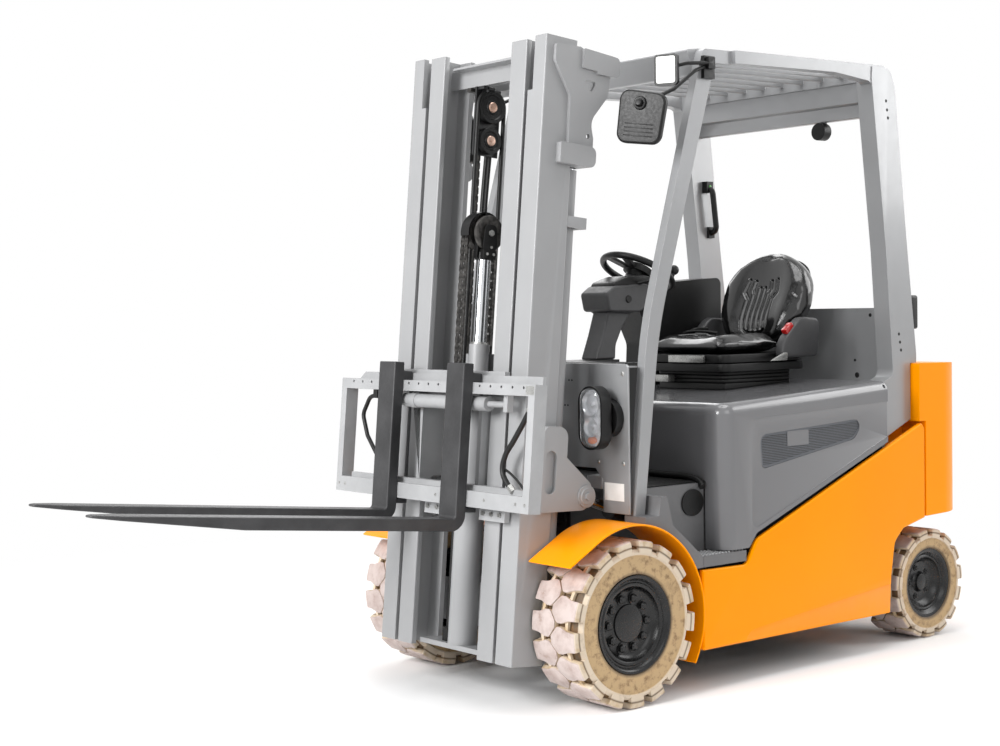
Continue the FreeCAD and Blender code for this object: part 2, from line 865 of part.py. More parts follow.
# Steering column: a slim leg that carries a wide head below the wheel
column_parts = [
    slab(
        "xz",
        [
            (column_foot[0] + 50, column_foot[1]),
            (column_foot[0] - 54, column_foot[1]),
            (-462, 1262, 60),
            (-498, 1330, 80),
            (-560, 1404),
            (-432, 1420),
            (-392, 1300, 90),
        ],
        -46,
        46,
    ),
    slab(
        "xz",
        [
            (-400, 1392, 18),
            (-560, 1388, 30),
            (-660, 1424, 24),
            (-676, 1470, 20),
            (-600, 1500, 20),
            (-430, 1492, 30),
            (-384, 1462, 16),
        ],
        -78,
        78,
    ),
]
tilt = math.radians(wheel_tilt)
stem_axis = Vector(-math.sin(tilt), 0, math.cos(tilt))
hub_centre = Vector(wheel_centre[0], 0, wheel_centre[1])
stem_start = hub_centre - stem_axis * 92
stem_end = hub_centre - stem_axis * 30
column_parts.append(rod_between(stem_start, stem_end, 44))
save("steering_column", [fused(column_parts)])

steering = [
    Part.makeTorus(wheel_radius - wheel_rim, wheel_rim),
    cylinder((0, 0, -29.7), (0, 0, 1), 42, 30),
    cylinder((0, 0, -8), (0, 0, 1), 58, 26),
    cylinder((-76, 116, 10), (0, 0, 1), 10, 24),
    Part.makeSphere(20, Vector(-76, 116, 46)),
]
for angle in (20, 180, 340):
    spoke = box((30, wheel_radius - wheel_rim), (-16, 16), (-6, 6))
    spoke.rotate(Vector(0, 0, 0), Vector(0, 0, 1), angle)
    steering.append(spoke)
wheel = fused(steering)
wheel.rotate(Vector(0, 0, 0), Vector(0, 1, 0), -wheel_tilt)
wheel.translate(hub_centre)
save("steering_wheel", [wheel])

# Overhead guard: two bent side frames, roof and rear panels
roof_slope = (roof_rear[1] - pillar_top[1]) / (roof_rear[0] - pillar_top[0])


def roof_height(x):
    return pillar_top[1] + roof_slope * (x - pillar_top[0])


def side_frame():
    foot_x, foot_z = pillar_foot
    waist_x, waist_z = pillar_waist
    top_x, top_z = pillar_top
    rear_x, rear_z = roof_rear
    width = front_pillar_width
    front_leg = slab(
        "xz",
        [
            (foot_x + 12, foot_z),
            (waist_x + width / 2, waist_z, 1500),
            (top_x + width / 2 + 6, top_z, 26),
            (top_x - 140, top_z + 4),
            (top_x - 140, top_z - roof_rail + 4),
            (top_x - width / 2 + 4, top_z - roof_rail, 18),
            (waist_x - width / 2, waist_z, 1500),
            (foot_x - 36, foot_z),
        ],
        pillar_y - front_pillar_wall / 2,
        pillar_y + front_pillar_wall / 2,
    )
    rail = slab(
        "xz",
        [
            (top_x - 120, roof_height(top_x - 120) - roof_rail + 2),
            (top_x - 120, roof_height(top_x - 120) + 2),
            (rear_x, rear_z, 60),
            (rear_x - 30, rear_z - 130),
            (rear_x + 90, rear_z - 130),
            (rear_x + 114, rear_z - roof_rail - 22, 40),
            (-1180, roof_height(-1180) - roof_rail + 4, 300),
        ],
        pillar_y - front_pillar_wall / 2,
        pillar_y + rear_pillar_wall / 2 - 4,
    )
    rear_leg = slab(
        "xz",
        [
            (rear_x - 2, rear_z - 10, 50),
            (rear_x + 110, rear_z - 10),
            (rear_x + 114, rear_z - 60),
            (-1488, 1625, 1200),
            (-1518, 1250, 400),
            (-1530, 1112, 40),
            (hood_rear - hood_rear_gap, 1086),
            (hood_rear - hood_rear_gap, 852),
            (weight_front_high + body_gap, skirt_peak[1] + 14),
            (weight_front_high + body_gap, weight_top + running_gap),
            (-1684, weight_top + running_gap),
            (-1684, 1200, 60),
            (-1620, 1700, 1600),
            (rear_x - 36, rear_z - 80, 200),
        ],
        pillar_y - rear_pillar_wall / 2,
        pillar_y + rear_pillar_wall / 2,
    )
    return fused([front_leg, rail, rear_leg])


save("guard_side_frames", both_sides(side_frame()))

inner_pillar = pillar_y - rear_pillar_wall / 2
roof_inner = pillar_y - front_pillar_wall / 2
header_x = pillar_top[0] + 22
header_outline = [
    (header_x, roof_height(header_x) + 6, 6),
    (header_x + 62, roof_height(header_x) - 2, 6),
    (header_x + 22, roof_height(header_x) - 92, 8),
    (header_x - 6, roof_height(header_x) - 92, 8),
    (header_x - 22, roof_height(header_x) - 20),
    (header_x - 60, roof_height(header_x) - 20),
    (header_x - 60, roof_height(header_x) + 4),
]
roof_parts = [slab("xz", header_outline, -roof_inner, roof_inner)]
bar_pitch = 2 * (roof_inner - 20) / (roof_bar_count + 1)
bar_start = header_x - 58
bar_end = roof_rear[0] + 74
for i in range(roof_bar_count):
    y = -roof_inner + 20 + bar_pitch * (i + 1)
    bar_outline = [
        (bar_start, roof_height(bar_start) + 2),
        (bar_start, roof_height(bar_start) - roof_bar_height),
        (bar_end, roof_height(bar_end) - roof_bar_height),
        (bar_end, roof_height(bar_end) + 2),
    ]
    roof_parts.append(slab("xz", bar_outline, y - roof_bar_wall / 2, y + roof_bar_wall / 2))
rear_beam = box(
    (roof_rear[0] + 74, roof_rear[0] + 62), (-inner_pillar, inner_pillar),
    (roof_height(roof_rear[0]) - 60, roof_height(roof_rear[0]) - 4)
)
save("guard_roof", [fused(roof_parts + [rear_beam])])

header_low = roof_height(roof_rear[0]) - rear_header_drop
rear_x = roof_rear[0]
rear_header = slab(
    "xz",
    [
        (rear_x + 60, roof_rear[1] - 14),
        (rear_x + 61.5, header_low + 60),
        (rear_x + 34, header_low + 54),
        (rear_x + 28, header_low, 8),
        (rear_x - 6, header_low, 8),
        (rear_x - 6, header_low + 12),
        (rear_x + 18, header_low + 12),
        (rear_x + 24, header_low + 64),
        (rear_x + 50, header_low + 70),
        (rear_x + 48, roof_rear[1] - 14),
    ],
    -inner_pillar,
    inner_pillar,
)
wall_outline = [
    (-inner_pillar, hood_top_rear - 24),
    (inner_pillar, hood_top_rear - 24),
    (inner_pillar, rear_wall_top, 60),
    (-inner_pillar, rear_wall_top, 60),
]
rear_wall = slab("yz", wall_outline, rear_wall_x - 10, rear_wall_x)
wall_sill = box(
    (weight_front_high + 0.3, rear_wall_x),
    (-inner_pillar, inner_pillar),
    (hood_top_rear - 34, hood_top_rear - 24),
)
wall_edges = [
    box(
        (weight_front_high + 10, rear_wall_x),
        (sign * (inner_pillar - 8), sign * inner_pillar),
        (hood_top_rear - 34, rear_wall_top - 80),
    )
    for side, sign in sides
]
deck_rear = box(
    (hood_rear - hood_rear_gap, rear_wall_x),
    (-inner_pillar, inner_pillar),
    (hood_top_rear - 34, hood_top_rear - 24),
)
pin_x, pin_z = hood_pin
hinge_parts = []
for side, sign in sides:
    y = sign * hood_hinge_y
    hinge_parts += [
        box((hood_rear - 30, pin_x), (y - 10, y + 10), (pin_z - 14, pin_z)),
        cylinder((pin_x, y - 10, pin_z), (0, 1, 0), hood_pin_radius + 2, 20),
        cylinder((pin_x, y - 30, pin_z), (0, 1, 0), hood_pin_radius, 60),
    ]
rear_deck = fused([rear_wall, wall_sill, deck_rear] + wall_edges + hinge_parts)
save("guard_rear_panels", [rear_header, rear_deck])

# Lamps and mirrors
lamp_y = 424.0
lamp_z = 1014.0
lamp_half = (54.0, 106.0)


def lamp_slab(grow, low, high):
    half_y = lamp_half[0] + grow
    half_z = lamp_half[1] + grow
    corners = [
        (lamp_y - half_y, lamp_z - half_z, half_y * 0.98),
        (lamp_y + half_y, lamp_z - half_z, half_y * 0.98),
        (lamp_y + half_y, lamp_z + half_z, half_y * 0.98),
        (lamp_y - half_y, lamp_z + half_z, half_y * 0.98),
    ]
    return slab("yz", corners, low, high)


lamp_front = 52.0
lamp_shell = lamp_slab(8, lamp_front - 70, lamp_front - 22).cut(lamp_slab(1, lamp_front - 44, lamp_front))
lamp_cup = cylinder((cowl_x, lamp_y + 12, lamp_z - 2), (1, 0, 0), 70, 34)
lamp_neck = cylinder((cowl_x + 30, lamp_y + 8, lamp_z - 2), (1, 0, 0), 46, 20)
headlamp = fused([lamp_shell, lamp_cup, lamp_neck])
save("headlamps", both_sides(headlamp))
lens = lamp_slab(0.7, lamp_front - 44, lamp_front - 12)
lens_edges = [edge for edge in lens.Edges if edge.BoundBox.XMin > lamp_front - 13]
save("headlamp_lenses", both_sides(lens.makeFillet(20, lens_edges)))

mirror_centre = Vector(-163, 500, 2086)
mirror_base = Vector(-452, pillar_y + front_pillar_wall / 2, 2286)
mirror_body = slab(
    "yz",
    [(-80, -98, 38), (88, -94, 38), (98, 88, 38), (-84, 98, 38)],
    -12,
    12,
)
mirror_body = mirror_body.makeFillet(9, [e for e in mirror_body.Edges if e.BoundBox.XMin > 11])
mirror_body.rotate(Vector(0, 0, 0), Vector(1, 0, 0), -8)
mirror_body.rotate(Vector(0, 0, 0), Vector(0, 0, 1), 24)
mirror_body.translate(mirror_centre)
arm_elbow = Vector(-290, 548, 2190)
mirror_arm = bent_tube(
    [mirror_base + Vector(0, 12, 0), Vector(-392, 552, 2262), arm_elbow, mirror_centre + Vector(-6, 0, 44)],
    7,
    24
)
mirror_plate = box((-496, -440), (mirror_base.y + 0.3, mirror_base.y + 16), (2240, 2322))
small_mirror = slab("yz", [(-42, -56, 12), (46, -56, 12), (46, 56, 12), (-42, 56, 12)], -12, 12)
small_mirror.rotate(Vector(0, 0, 0), Vector(0, 0, 1), 24)
small_mirror.translate(Vector(-292, 506, 2262))
small_arm = bent_tube([Vector(-298, 508, 2270), Vector(-348, 556, 2286), Vector(-470, 562, 2296)], 7, 20)
small_plate = box((-484, -450), (mirror_base.y + 2, mirror_base.y + 30), (2274, 2316))
left_mirrors = fused([mirror_body, mirror_arm, mirror_plate, small_mirror, small_arm, small_plate])
right_mirror = mirrored(fused([mirror_body, mirror_arm, mirror_plate]))
save("mirrors", [left_mirrors, right_mirror])

work_lamp = fused([
    cylinder((rear_x + 6, 228, header_low - 38), (1, 0, 0), 36, 44),
    box((rear_x + 6, rear_x + 26), (216, 240), (header_low - 30, header_low - 0.3)),
])
save("work_lamp", [work_lamp])

handle_y = -inner_pillar + 0.3
handle = fused([
    bent_tube([
        (-1530, handle_y, 1945),
        (-1530, handle_y + 42, 1945),
        (-1556, handle_y + 42, 1745),
        (-1556, handle_y, 1745),
    ], 13, 30),
    box((-1548, -1508), (handle_y, handle_y + 30), (1925, 1975)),
    box((-1574, -1536), (handle_y, handle_y + 12), (1720, 1770)),
])
save("grab_handle", [handle])

# Hood over the battery: a hollow shell with rounded shoulders, hinged at its rear edge
skirt_slope = (skirt_peak[1] - skirt_kink[1]) / (skirt_peak[0] - skirt_kink[0])
hood_low_rear = skirt_kink[1] + skirt_slope * (hood_rear - skirt_kink[0]) + hood_skirt_gap


def hood_side_outline(inset):
    return [
        (hood_front - inset, skirt_step + 56 + inset),
        (hood_front - inset, hood_top_front - inset),
        (hood_rear + inset, hood_top_rear - inset),
        (hood_rear + inset, hood_low_rear + inset),
        (skirt_kink[0] - 6, skirt_kink[1] + hood_skirt_gap + 8 + inset, 30),
        (-612, skirt_step + 56 + inset, 12),
    ]


def hood_block(inset):
    front_x = hood_front - inset
    rear_x = hood_rear + inset
    block = slab("xz", hood_side_outline(inset), -hood_face + inset, hood_face - inset)
    uprights = [
        edge for edge in block.Edges
        if abs(edge.BoundBox.XMin - front_x) < 1e-3 and edge.BoundBox.XLength < 1e-3 and edge.BoundBox.ZLength > 100
    ]
    block = block.makeFillet(hood_corner, uprights)
    shoulders = [
        edge for edge in block.Edges
        if edge.BoundBox.ZMin > hood_top_front - inset - 1 and abs(edge.BoundBox.XMax - rear_x) > 1e-3
    ]
    return block.makeFillet(hood_shoulder - inset, shoulders)


def hood_plan(inset, low, high):
    return slab(
        "xy",
        [
            (hood_front - inset, inset - hood_face, hood_corner),
            (hood_front - inset, hood_face - inset, hood_corner),
            (hood_rear - 1, hood_face - inset),
            (hood_rear - 1, inset - hood_face),
        ],
        low,
        high,
    )


hood_core = hood_block(hood_wall).common(box((-3000, 0), (-700, 700), (0, 3000)))
hood_cut = box((hood_front + 20, hood_front - 62), (-riser_face - 6, riser_face + 6), (0, floor_height + 8))
open_floor = hood_plan(hood_wall, 400, 900)
rear_cut = box(
    (hood_rear - 1, hood_rear + hood_wall + 1), (-hood_face + hood_wall, hood_face - hood_wall), (
        700, hood_lip_bottom
    )
)
hood = hood_block(0).cut(hood_core).cut(hood_cut).cut(open_floor).cut(rear_cut)
for side, sign in sides:
    y = sign * hood_hinge_y
    hood = hood.cut(
        box((hood_rear - 1, hood_rear + hood_wall + 1), (y - 40, y + 40), (1040, hood_top_rear - 11))
    )
grille_outline = [(-690, 790, 20), (-682, 920, 34), (-1305, 952, 30), (-1240, 872, 60)]
grille_hole = slab("xz", grille_outline, hood_face - hood_wall - 2, hood_face + 5)
recess_outline = [(-628, 562, 30), (-634, 985, 75), (hood_rear - 1, 1011), (hood_rear - 1, 869)]
side_recess = slab("xz", recess_outline, hood_face - hood_recess, hood_face + 5)
for cut_shape in (grille_hole, side_recess):
    hood = hood.cut(cut_shape).cut(mirrored(cut_shape))
hood_solids = sorted(hood.Solids, key=lambda solid: -solid.Volume)
hinge_leaves = []
for side, sign in sides:
    for offset in (-24, 12):
        y = sign * hood_hinge_y + offset
        leaf = box((pin_x - 10, pin_x + 14), (y, y + 12), (pin_z - 10, hood_top_rear - 8))
        hinge_leaves.append(leaf)
hinge_bore = cylinder((pin_x, -600, pin_z), (0, 1, 0), hood_pin_radius + running_gap, 1200)
save("hood", [fused([hood_solids[0]] + hinge_leaves).cut(hinge_bore)])

grille_frame = slab(
    "xz",
    [(-690.4, 790.6, 20), (-682.4, 919.6, 34), (-1304.4, 951.5, 30), (-1240.2, 872.4, 60)],
    hood_face - hood_wall,
    hood_face - 7,
)
save("hood_grilles", both_sides(grille_frame))

# Seat: sprung base, side covers, cushion and a leaning backrest
def hood_top(x):
    fall = (x - hood_front) / (hood_rear - hood_front)
    return hood_top_front + fall * (hood_top_rear - hood_top_front)


seat_base = [
    slab(
        "xy",
        [
            (seat_rear, -seat_half_width, 30),
            (seat_front, -seat_half_width, 50),
            (seat_front, seat_half_width, 50),
            (seat_rear, seat_half_width, 30),
        ],
        seat_base_bottom + 26,
        seat_base_top,
    ),
    slab(
        "xz",
        [
            (seat_rear + 40, hood_top(seat_rear + 40) + running_gap),
            (seat_front - 50, hood_top(seat_front - 50) + running_gap),
            (seat_front - 60, seat_base_bottom + 30),
            (seat_rear + 50, seat_base_bottom + 30),
        ],
        -seat_half_width + 36,
        seat_half_width - 36,
    ),
]
side_cover = slab(
    "xz",
    [
        (seat_rear - 30, seat_base_bottom + 80, 20),
        (-1180, seat_base_bottom + 80, 20),
        (-1190, seat_base_top + 50, 30),
        (-1300, seat_base_top + 150, 24),
        (seat_rear - 40, seat_base_top + 140, 30),
    ],
    seat_half_width - 4,
    seat_half_width + 44,
)
seat_parts = seat_base + both_sides(side_cover)
save("seat_base", [fused(seat_parts)])

cushion = slab(
    "xz",
    [
        (seat_front, seat_base_top + soft_gap, 12),
        (seat_front + 4, seat_base_top + cushion_height, 34),
        (-1250, seat_base_top + cushion_height - 14, 30),
        (-1262, seat_base_top + soft_gap, 6),
    ],
    -seat_half_width + 6,
    seat_half_width - 6,
)
save("seat_cushion", [cushion])

back_plan = [
    (-seat_half_width + 8, 0, 40),
    (seat_half_width - 8, 0, 40),
    (seat_half_width - 4, backrest_height * 0.5, 90),
    (seat_half_width - 66, backrest_height, 70),
    (66 - seat_half_width, backrest_height, 70),
    (4 - seat_half_width, backrest_height * 0.5, 90),
]
backrest = slab("yz", back_plan, -backrest_wall, 0)
backrest.rotate(Vector(0, 0, 0), Vector(0, 1, 0), -backrest_lean)
backrest.translate(Vector(-1268 - soft_gap, 0, seat_base_top + 28))
save("seat_backrest", [backrest.cut(box((-1400, -1100), (-300, 300), (1100, seat_base_top + running_gap)))])

console_outline = [
    (-1000, hood_top(-1000) + running_gap),
    (-1010, 1250, 60),
    (-930, 1400, 30),
    (-960, 1500, 30),
    (-1060, 1512, 40),
    (-1440, 1536, 30),
    (-1440, 1260, 60),
    (-1400, hood_top(-1400) + running_gap),
]
console_space = slab("xz", [(-1018, 1040), (-1026, 1440), (-1400, 1470), (-1384, 1040)], -462, -318)
console = slab("xz", console_outline, -470, -310).cut(console_space)
lever_ball = [
    fused([
        cylinder((x, -390, 1490), (0, 0, 1), 7, 60),
        Part.makeSphere(19, Vector(x, -390, 1562)),
    ])
    for x in (-1000, -1050)
]
save("operator_console", [fused([console] + lever_ball)])

# Mast, outer stage: two channel rails with ties, lift barrels, hinge plates and brackets
def rail_section(points, low, high):
    return slab("xy", points, low, high)


outer_section = [
    (0, outer_lip),
    (0, outer_face, 5),
    (-rail_depth, outer_face, 5),
    (-rail_depth, outer_lip),
    (-rail_depth + rail_flange, outer_lip),
    (-rail_depth + rail_flange, outer_face - outer_web),
    (-rail_flange, outer_face - outer_web),
    (-rail_flange, outer_lip),
]
outer_rail = rail_section(outer_section, rail_bottom, rail_top)
notch = box(
    (1, -rail_flange - 1),
    (outer_lip - 1, outer_lip + rail_notch[0]),
    (rail_top - rail_notch[1], rail_top + 1),
)
outer_rail = outer_rail.cut(notch)
lean_angle = math.radians(mast_lean)
pivot_back = mast_pivot[0] - mast_front_x
pivot_local_x = pivot_back * math.cos(lean_angle) + mast_pivot[1] * math.sin(lean_angle)
pivot_local_z = -pivot_back * math.sin(lean_angle) + mast_pivot[1] * math.cos(lean_angle)
hinge_low_y = outer_face - 19
hinge_plate = slab(
    "xz",
    [
        (-rail_depth + 1, pivot_local_z - 110),
        (-rail_depth + 1, pivot_local_z + 130),
        (-rail_depth - 60, pivot_local_z + 110, 20),
        (pivot_local_x - 40, pivot_local_z + 40, 38),
        (pivot_local_x - 40, pivot_local_z - 40, 38),
        (-rail_depth - 60, pivot_local_z - 80, 20),
    ],
    hinge_low_y,
    outer_face - 0.5,
)
hinge_hole = cylinder(
    (pivot_local_x, hinge_low_y - 5, pivot_local_z), (0, 1, 0), mast_pin_radius + running_gap, 40
)
gusset_heights = ((240.0, 400.0), (806.0, 870.0), (1716.0, 1756.0))
outer_parts = []
for shape in both_sides(outer_rail):
    outer_parts.append(shape)
for side, sign in sides:
    for low, high in gusset_heights:
        gusset = box(
            (outer_tie_x[0], -rail_depth + 1),
            (sign * (outer_face - 16), sign * (outer_face - 1)),
            (low, high),
        )
        outer_parts.append(gusset)
for low, high in gusset_heights:
    outer_parts.append(box(outer_tie_x, (-outer_face + 1, outer_face - 1), (low, high)))
tilt_block = slab(
    "xz",
    [
        (-74, 704),
        (-74, 1008, 26),
        (-184, 1008, 40),
        (-184, 900),
        (tilt_pin[0] - 20, tilt_pin[1] + 46, 30),
        (tilt_pin[0] - 44, tilt_pin[1] - 20, 40),
        (tilt_pin[0] + 10, tilt_pin[1] - 50, 30),
    ],
    outer_face - 0.5,
    outer_face + tilt_bracket_wall,
)
tilt_slot = slab(
    "xz",
    [(-86, 770, 24), (-86, 922, 24), (-136, 922, 24), (-136, 770, 24)],
    outer_face + 8,
    outer_face + tilt_bracket_wall + 1,
)
tilt_pin_shape = fused([
    cylinder(
        (tilt_pin[0], tilt_cylinder_y - 24, tilt_pin[1]),
        (0, 1, 0),
        tilt_pin_radius,
        outer_face + tilt_bracket_wall + 9 - tilt_cylinder_y + 24,
    ),
    cylinder((tilt_pin[0], outer_face + tilt_bracket_wall - 1, tilt_pin[1]), (0, 1, 0), 40, 8),
])
for shape in both_sides(fused([tilt_block.cut(tilt_slot), tilt_pin_shape, hinge_plate.cut(hinge_hole)])):
    outer_parts.append(shape)
save("mast_outer_rails", [fused(outer_parts)], True)

bracket = slab(
    "xz",
    [
        (-34, 2348, 10),
        (-34, 2290, 30),
        (-112, 2180, 30),
        (-116, 2005),
        (-116, 1936),
        (-232, 1936, 20),
        (-232, 2040, 20),
        (-214, 2100, 60),
        (-292, 2200, 40),
        (-300, 2300),
        (-150, 2356, 8),
    ],
    outer_face,
    outer_face + bracket_wall,
)
window = slab(
    "xz",
    [(-170, 2246, 8), (-236, 2243, 10), (-209, 2199, 10)],
    outer_face - 1,
    outer_face + bracket_wall + 1,
)
eye = cylinder((-206, outer_face - 1, 2045), (0, 1, 0), 9, bracket_wall + 2)
clamp = slab(
    "xz",
    [(-72, 1934, 8), (-72, 2008, 8), (-240, 2008, 26), (-240, 1934, 26)],
    lift_barrel_y - 40,
    outer_face + bracket_wall + 12,
)
clamp_space = box((-rail_depth, 5), (0, outer_face), (1900, 2100))
clamp_bore = cylinder((lift_barrel_x, lift_barrel_y, 1900), (0, 0, 1), lift_rod_radius + 8, 150)
clamp = clamp.cut(clamp_space).cut(clamp_bore)
tie_outline = [
    (head_tie[0], head_tie[2], 20),
    (head_tie[0], head_tie[3], 20),
    (head_tie[1], head_tie[3]),
    (head_tie[1], head_tie[2]),
]
tie = slab("xz", tie_outline, -outer_face - bracket_wall - 10, outer_face + bracket_wall + 10)
tie_cheek = slab(
    "xz",
    [(head_tie[0] + 10, 2280, 20), (head_tie[0] + 10, 2345, 20), (-158, 2352, 6), (-158, 2282, 6)],
    outer_face + bracket_wall - 1,
    outer_face + bracket_wall + 10,
)
bracket_parts = [tie]
for shape in (bracket.cut(window).cut(eye), clamp, tie_cheek):
    bracket_parts += both_sides(shape)
save("mast_head_bracket", [fused(bracket_parts)], True)

lift_barrel = cylinder(
    (lift_barrel_x, lift_barrel_y, 205), (0, 0, 1), lift_barrel_radius, lift_barrel_top - 205
)
lift_bore = cylinder(
    (lift_barrel_x, lift_barrel_y, 260), (0, 0, 1), lift_rod_radius + 3, lift_barrel_top - 290
)
lift_gland = cylinder(
    (lift_barrel_x, lift_barrel_y, 260), (0, 0, 1), lift_rod_radius + running_gap, lift_barrel_top
)
foot = box((-rail_depth - 0.5, lift_barrel_x - 34), (lift_barrel_y - 30, outer_face - 20), (190, 206))
barrel = fused([lift_barrel, foot]).cut(lift_bore).cut(lift_gland)
save("lift_barrels", both_sides(barrel), True)

# Mast, inner stage: two I rails, ties, rollers and the ears that the lift rods push
inner_section = [
    (0, inner_lip, 4),
    (0, inner_flange_end, 4),
    (-rail_flange, inner_flange_end),
    (-rail_flange, inner_web[1]),
    (-rail_depth + rail_flange, inner_web[1]),
    (-rail_depth + rail_flange, inner_flange_end),
    (-rail_depth, inner_flange_end, 4),
    (-rail_depth, inner_lip, 4),
    (-rail_depth + rail_flange, inner_lip),
    (-rail_depth + rail_flange, inner_web[0]),
    (-rail_flange, inner_web[0]),
    (-rail_flange, inner_lip),
]
inner_rail = rail_section(inner_section, rail_bottom, rail_top - 6)
roller_x = -rail_depth / 2
inner_half = [inner_rail]
for z in mast_roller_heights:
    inner_half.append(cylinder((roller_x, inner_web[1] - 2, z), (0, 1, 0), 20, 34))
    inner_half.append(
        cylinder(
            (roller_x, outer_lip + 6, z),
            (0, 1, 0),
            roller_radius,
            outer_face - outer_web - 6 - outer_lip - 6,
        ),
    )
ear = slab(
    "xy",
    [
        (-rail_depth + 0.5, inner_lip),
        (-rail_depth + 0.5, inner_flange_end - 4),
        (-rail_depth - 8, outer_lip - 6),
        (-rail_depth - 8, lift_barrel_y + 24),
        (lift_barrel_x - 26, lift_barrel_y + 24),
        (lift_barrel_x - 26, inner_lip),
    ],
    lift_rod_top,
    lift_rod_top + 24,
)
inner_half.append(ear)
inner_parts = []
for shape in inner_half:
    inner_parts += both_sides(shape)
tie_half = inner_web[0] + 2
top_tie = box((-88, -108), (-tie_half, tie_half), (2262, 2332))
top_lip = box((-40, -108), (-inner_lip - 2, inner_lip + 2), (2324, 2332))
mid_tie = box((-rail_depth, -rail_depth + 10), (-inner_lip - 2, inner_lip + 2), (1180, 1260))
low_tie = box((-rail_depth, -40), (-inner_lip - 2, inner_lip + 2), (172, 190))
save("mast_inner_rails", [fused(inner_parts + [top_tie, top_lip, mid_tie, low_tie])], True)

lift_rod = cylinder((lift_barrel_x, lift_barrel_y, 320), (0, 0, 1), lift_rod_radius, lift_rod_top - 320)
save("lift_rods", both_sides(lift_rod), True)

barrel_low = 190.0
free_barrel = cylinder(
    (free_cylinder_x, 0, barrel_low), (0, 0, 1), free_barrel_radius, free_shoulder - barrel_low
)
free_cap = cylinder(
    (free_cylinder_x, 0, free_shoulder - 20),
    (0, 0, 1),
    free_neck_radius,
    free_barrel_top - free_shoulder + 20,
)
free_bore = cylinder(
    (free_cylinder_x, 0, barrel_low + 16), (0, 0, 1), free_rod_radius + 6, free_barrel_top - barrel_low - 50
)
free_gland = cylinder(
    (free_cylinder_x, 0, barrel_low + 16), (0, 0, 1), free_rod_radius + running_gap, free_barrel_top
)
save("free_lift_barrel", [fused([free_barrel, free_cap]).cut(free_bore).cut(free_gland)], True)

pulley_low, pulley_high = hose_pulley_y
pulley_shapes = []
hanger = box((-200, -80), (pulley_low - 14, pulley_low - 6), (2006, 2261.7))
hanger_head = box((-146, -88.2), (pulley_low - 14, pulley_high + 4), (2250, 2261.7))
hanger_post = box((-108.3, -118), (pulley_low - 14, pulley_high + 4), (2240, 2300))
pulley_shapes += [hanger, hanger_head, hanger_post]
for x, z, radius in hose_pulleys:
    pulley_shapes.append(cylinder((x, pulley_low, z), (0, 1, 0), radius, pulley_high - pulley_low))
    pulley_shapes.append(cylinder((x, pulley_low - 8, z), (0, 1, 0), 16, pulley_high - pulley_low + 14))
pulleys = fused(pulley_shapes)
for x, z, radius in hose_pulleys:
    groove = Part.makeTorus(
        radius + 1, mast_hose_radius + 1, Vector(x, (pulley_low + pulley_high) / 2, z), Vector(0, 1, 0)
    )
    pulleys = pulleys.cut(groove)
save("hose_pulleys", [pulleys], True)

hose_x, hose_z, hose_radius = hose_pulleys[0]
hose_y = (pulley_low + pulley_high) / 2
over = hose_radius + 1
half_loop = [
    Part.makeLine(Vector(hose_x + over, hose_y, 240), Vector(hose_x + over, hose_y, hose_z)),
    Part.Arc(
        Vector(hose_x + over, hose_y, hose_z), Vector(hose_x, hose_y, hose_z + over), Vector(
            hose_x - over, hose_y, hose_z
        )
    ).toShape(),
    Part.makeLine(Vector(hose_x - over, hose_y, hose_z), Vector(hose_x - over, hose_y, 1220)),
]
hose_path = Part.Wire(half_loop)
hose_ring = Part.Wire(
    Part.makeCircle(mast_hose_radius, Vector(hose_x + over, hose_y, 240), Vector(0, 0, 1))
)
hose_sweep = Part.BRepOffsetAPI.MakePipeShell(hose_path)
hose_sweep.setFrenetMode(True)
hose_sweep.add(hose_ring)
hose_sweep.build()
hose_sweep.makeSolid()
hose_foot = box((hose_x + over - 14, hose_x + over + 14), (hose_y - 14, hose_y + 14), (190, 240))
hose_clamp = box(
    (hose_x - over - mast_hose_radius, -rail_depth - running_gap), (hose_y - 12, hose_y + 12), (1205, 1240)
)
save("mast_hose", [fused([hose_sweep.shape(), hose_foot, hose_clamp])], True)

# Lift head: free lift rod, yoke, sheaves and the chains that run over them
chain_low, chain_high = chain_y
head_parts = [
    cylinder(
        (free_cylinder_x, 0, free_rod_bottom), (0, 0, 1), free_rod_radius, yoke_bottom - free_rod_bottom
    ),
    slab(
        "xz", [(-132, yoke_bottom, 10), (-42, yoke_bottom, 10), (-52, 1752, 24), (-122, 1752, 24)], -10, 10
    ),
    cylinder((free_cylinder_x, 0, yoke_bottom), (0, 0, 1), 34, 24),
    cylinder((free_cylinder_x, chain_low - 8, sheave_height), (0, 1, 0), 14, chain_high + 48 - chain_low),
    cylinder((free_cylinder_x, chain_low, sheave_height), (0, 1, 0), sheave_radius, chain_high - chain_low),
    cylinder((free_cylinder_x, 14, sheave_height), (0, 1, 0), sheave_radius + 4, 12),
]
save("lift_head", [fused(head_parts)], True)

